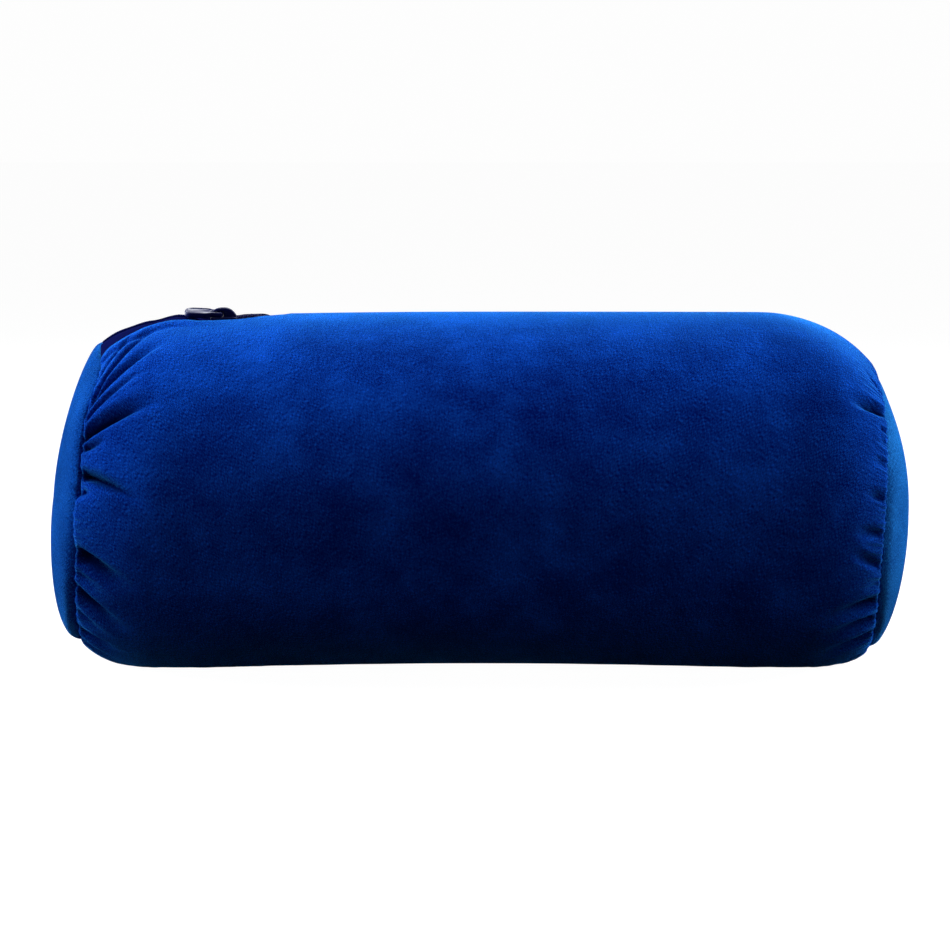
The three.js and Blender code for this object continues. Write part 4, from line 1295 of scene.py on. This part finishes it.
def velour(name, blue, turned, brushed=None, lower=0.0):
    """Velour whose pile follows the piece's own cloth map: brushed one way at the left, another at the right.
    Given a lower share, its lower part gets painted shade instead of the tucks' painted crease shade: mixed towards
    dark navy by up to that share, darker towards the bottom."""
    made, tree, shader = material(name)
    cloth_map = add(tree, "ShaderNodeUVMap", {"uv_map": "cloth"}).outputs[0]
    where = add(tree, "ShaderNodeTexCoord").outputs["Object"]
    patch = add(tree, "ShaderNodeTexNoise", Vector=where, Scale=1 / (NAP_PATCH * MM), Detail=5.0, Roughness=0.72).outputs[0]
    fleck = fleck_noise(tree, cloth_map, turned)
    if brushed is not None:
        along = add(tree, "ShaderNodeSeparateXYZ", Vector=where).outputs[0]
        side = add(tree, "ShaderNodeMapRange", Value=along, From_Min=-0.09, From_Max=0.07, To_Min=0.0, To_Max=1.0).outputs[0]
        both = add(tree, "ShaderNodeMix", Factor=side)
        tree.links.new(fleck, both.inputs["A"])
        tree.links.new(fleck_noise(tree, cloth_map, brushed), both.inputs["B"])
        fleck = both.outputs[0]
    nap = add(tree, "ShaderNodeMapRange", Value=patch, From_Min=0.32, From_Max=0.68, To_Min=-NAP, To_Max=NAP)
    lit = add(tree, "ShaderNodeMath", {"operation": "ADD"})
    tree.links.new(fleck, lit.inputs[0])
    tree.links.new(nap.outputs[0], lit.inputs[1])
    shade = add(tree, "ShaderNodeValToRGB", Fac=lit.outputs[0])
    shade.color_ramp.elements[0].position = 0.44
    shade.color_ramp.elements[0].color = linear(blue[0])
    shade.color_ramp.elements[1].position = 0.74
    shade.color_ramp.elements[1].color = linear(blue[1])
    # Painted shade: the colour is mixed towards dark navy by how deep the tucks are, darkest in the creases
    painted_shade = add(tree, "ShaderNodeAttribute", {"attribute_name": "crease_shade"}).outputs["Fac"]
    # Painted shade on the lower part: the colour is mixed towards dark navy by up to the lower share, darker towards
    # the bottom, with a wavy edge
    if lower > 0:
        high = add(tree, "ShaderNodeSeparateXYZ", Vector=where).outputs[2]
        wavy = add(tree, "ShaderNodeMath", {"operation": "MULTIPLY_ADD"}, Value=patch)
        wavy.inputs[1].default_value = -0.03
        tree.links.new(high, wavy.inputs[2])
        painted_shade = add(
            tree, "ShaderNodeMapRange", Value=wavy.outputs[0], From_Min=0.004, From_Max=0.034, To_Min=lower, To_Max=0.0,
        ).outputs[0]  # fmt: skip
    # The painted shade's dark navy is mixed into the velour's colour here
    dark = add(tree, "ShaderNodeMix", {"data_type": "RGBA"}, Factor=painted_shade)
    tree.links.new(shade.outputs[0], dark.inputs["A"])
    dark.inputs["B"].default_value = linear("#000c3c")
    tree.links.new(dark.outputs[2], shader.inputs["Base Color"])
    crimp = add(tree, "ShaderNodeAttribute", {"attribute_name": "crimp"})
    drawn = add(tree, "ShaderNodeMapping", {"vector_type": "TEXTURE"}, Vector=cloth_map, Scale=(*CRIMP, 1))
    wrinkles = add(tree, "ShaderNodeTexNoise", Vector=drawn.outputs[0], Scale=1.0, Detail=1.5, Roughness=0.5)
    folded = add(tree, "ShaderNodeMath", {"operation": "MULTIPLY"})
    tree.links.new(wrinkles.outputs[0], folded.inputs[0])
    tree.links.new(crimp.outputs["Fac"], folded.inputs[1])
    creased = add(tree, "ShaderNodeBump", Height=folded.outputs[0], Strength=1.0, Distance=CRIMP_DEEP * MM)
    bump = add(tree, "ShaderNodeBump", Height=fleck, Strength=1.0, Distance=0.32 * MM)
    tree.links.new(creased.outputs[0], bump.inputs["Normal"])
    tree.links.new(bump.outputs[0], shader.inputs["Normal"])
    shader.inputs["Roughness"].default_value = 0.95
    shader.inputs["Specular IOR Level"].default_value = 0.0
    shader.inputs["Sheen Weight"].default_value = 0.85
    shader.inputs["Sheen Roughness"].default_value = 0.3
    shader.inputs["Sheen Tint"].default_value = linear("#3298fa")
    return made


tube_velour = velour("polyester_velour_tube", ("#031a70", "#1464f8"), 32, -32)
left_velour = velour("polyester_velour_left_panel", ("#031c60", "#1260d2"), 28)
# The right panel is the same velour given lighter colours: painted light for the brighter light on that end. Its lower
# share of 0.7 is painted shade, darker towards the bottom
right_velour = velour("polyester_velour_right_panel", ("#0a3c88", "#2c9aff"), -6, lower=0.7)
tube.data.materials.append(tube_velour)
left_panel.data.materials.append(left_velour)
right_panel.data.materials.append(right_velour)

# %% [markdown]
# ## Tape, nylon and enamel
# The tape is a tight weave of polyester threads 0.35 mm apart. The coil is
# drawn nylon, smooth and faintly glossy. The slider and puller are zinc alloy under a glossy navy
# enamel, which gives small sharp highlights.

# %% Tape, nylon and enamel
THREAD = 0.4
tape_cloth, tree, shader = material("woven_polyester_tape")
tape_map = add(tree, "ShaderNodeUVMap", {"uv_map": "cloth"})
ribs = add(
    tree, "ShaderNodeTexWave", {"wave_type": "BANDS", "bands_direction": "X"},
    Vector=tape_map.outputs[0], Scale=0.314 / THREAD, Distortion=1.2, Detail=1.0,
)  # fmt: skip
wear = add(tree, "ShaderNodeTexNoise", Vector=tape_map.outputs[0], Scale=0.6, Detail=3.0)
shade = add(tree, "ShaderNodeValToRGB", Fac=wear.outputs[0])
shade.color_ramp.elements[0].color = linear("#060a30")
shade.color_ramp.elements[1].color = linear("#0a1044")
tree.links.new(shade.outputs[0], shader.inputs["Base Color"])
bump = add(tree, "ShaderNodeBump", Height=ribs.outputs[1], Strength=0.6, Distance=0.15 * MM)
tree.links.new(bump.outputs[0], shader.inputs["Normal"])
shader.inputs["Roughness"].default_value = 0.8
shader.inputs["Specular IOR Level"].default_value = 0.0
tube.data.materials.append(tape_cloth)
front_tape.data.materials.append(tape_cloth)
back_tape.data.materials.append(tape_cloth)

nylon, tree, shader = material("drawn_nylon_coil")
where = add(tree, "ShaderNodeTexCoord")
grain = add(tree, "ShaderNodeTexNoise", Vector=where.outputs["Object"], Scale=900.0, Detail=2.0)
shade = add(tree, "ShaderNodeValToRGB", Fac=grain.outputs[0])
shade.color_ramp.elements[0].color = linear("#0a0f44")
shade.color_ramp.elements[1].color = linear("#10165a")
tree.links.new(shade.outputs[0], shader.inputs["Base Color"])
shader.inputs["Roughness"].default_value = 0.45
shader.inputs["IOR"].default_value = 1.53
shader.inputs["Specular IOR Level"].default_value = 0.05
chain.data.materials.append(nylon)
open_coil.data.materials.append(nylon)

enamel, tree, shader = material("enamelled_zinc_alloy")
where = add(tree, "ShaderNodeTexCoord")
flow = add(tree, "ShaderNodeTexNoise", Vector=where.outputs["Object"], Scale=420.0, Detail=2.0)
shade = add(tree, "ShaderNodeValToRGB", Fac=flow.outputs[0])
shade.color_ramp.elements[0].color = linear("#0a0e3c")
shade.color_ramp.elements[1].color = linear("#101650")
tree.links.new(shade.outputs[0], shader.inputs["Base Color"])
bump = add(tree, "ShaderNodeBump", Height=flow.outputs[0], Strength=0.12, Distance=0.1 * MM)
tree.links.new(bump.outputs[0], shader.inputs["Normal"])
shader.inputs["Roughness"].default_value = 0.3
shader.inputs["Specular IOR Level"].default_value = 0.16
shader.inputs["Specular Tint"].default_value = linear("#a0bce8")
shader.inputs["Coat Weight"].default_value = 0.05
shader.inputs["Coat Roughness"].default_value = 0.06
slider.data.materials.append(enamel)
puller.data.materials.append(enamel)

# %% The end
print("all pieces made")
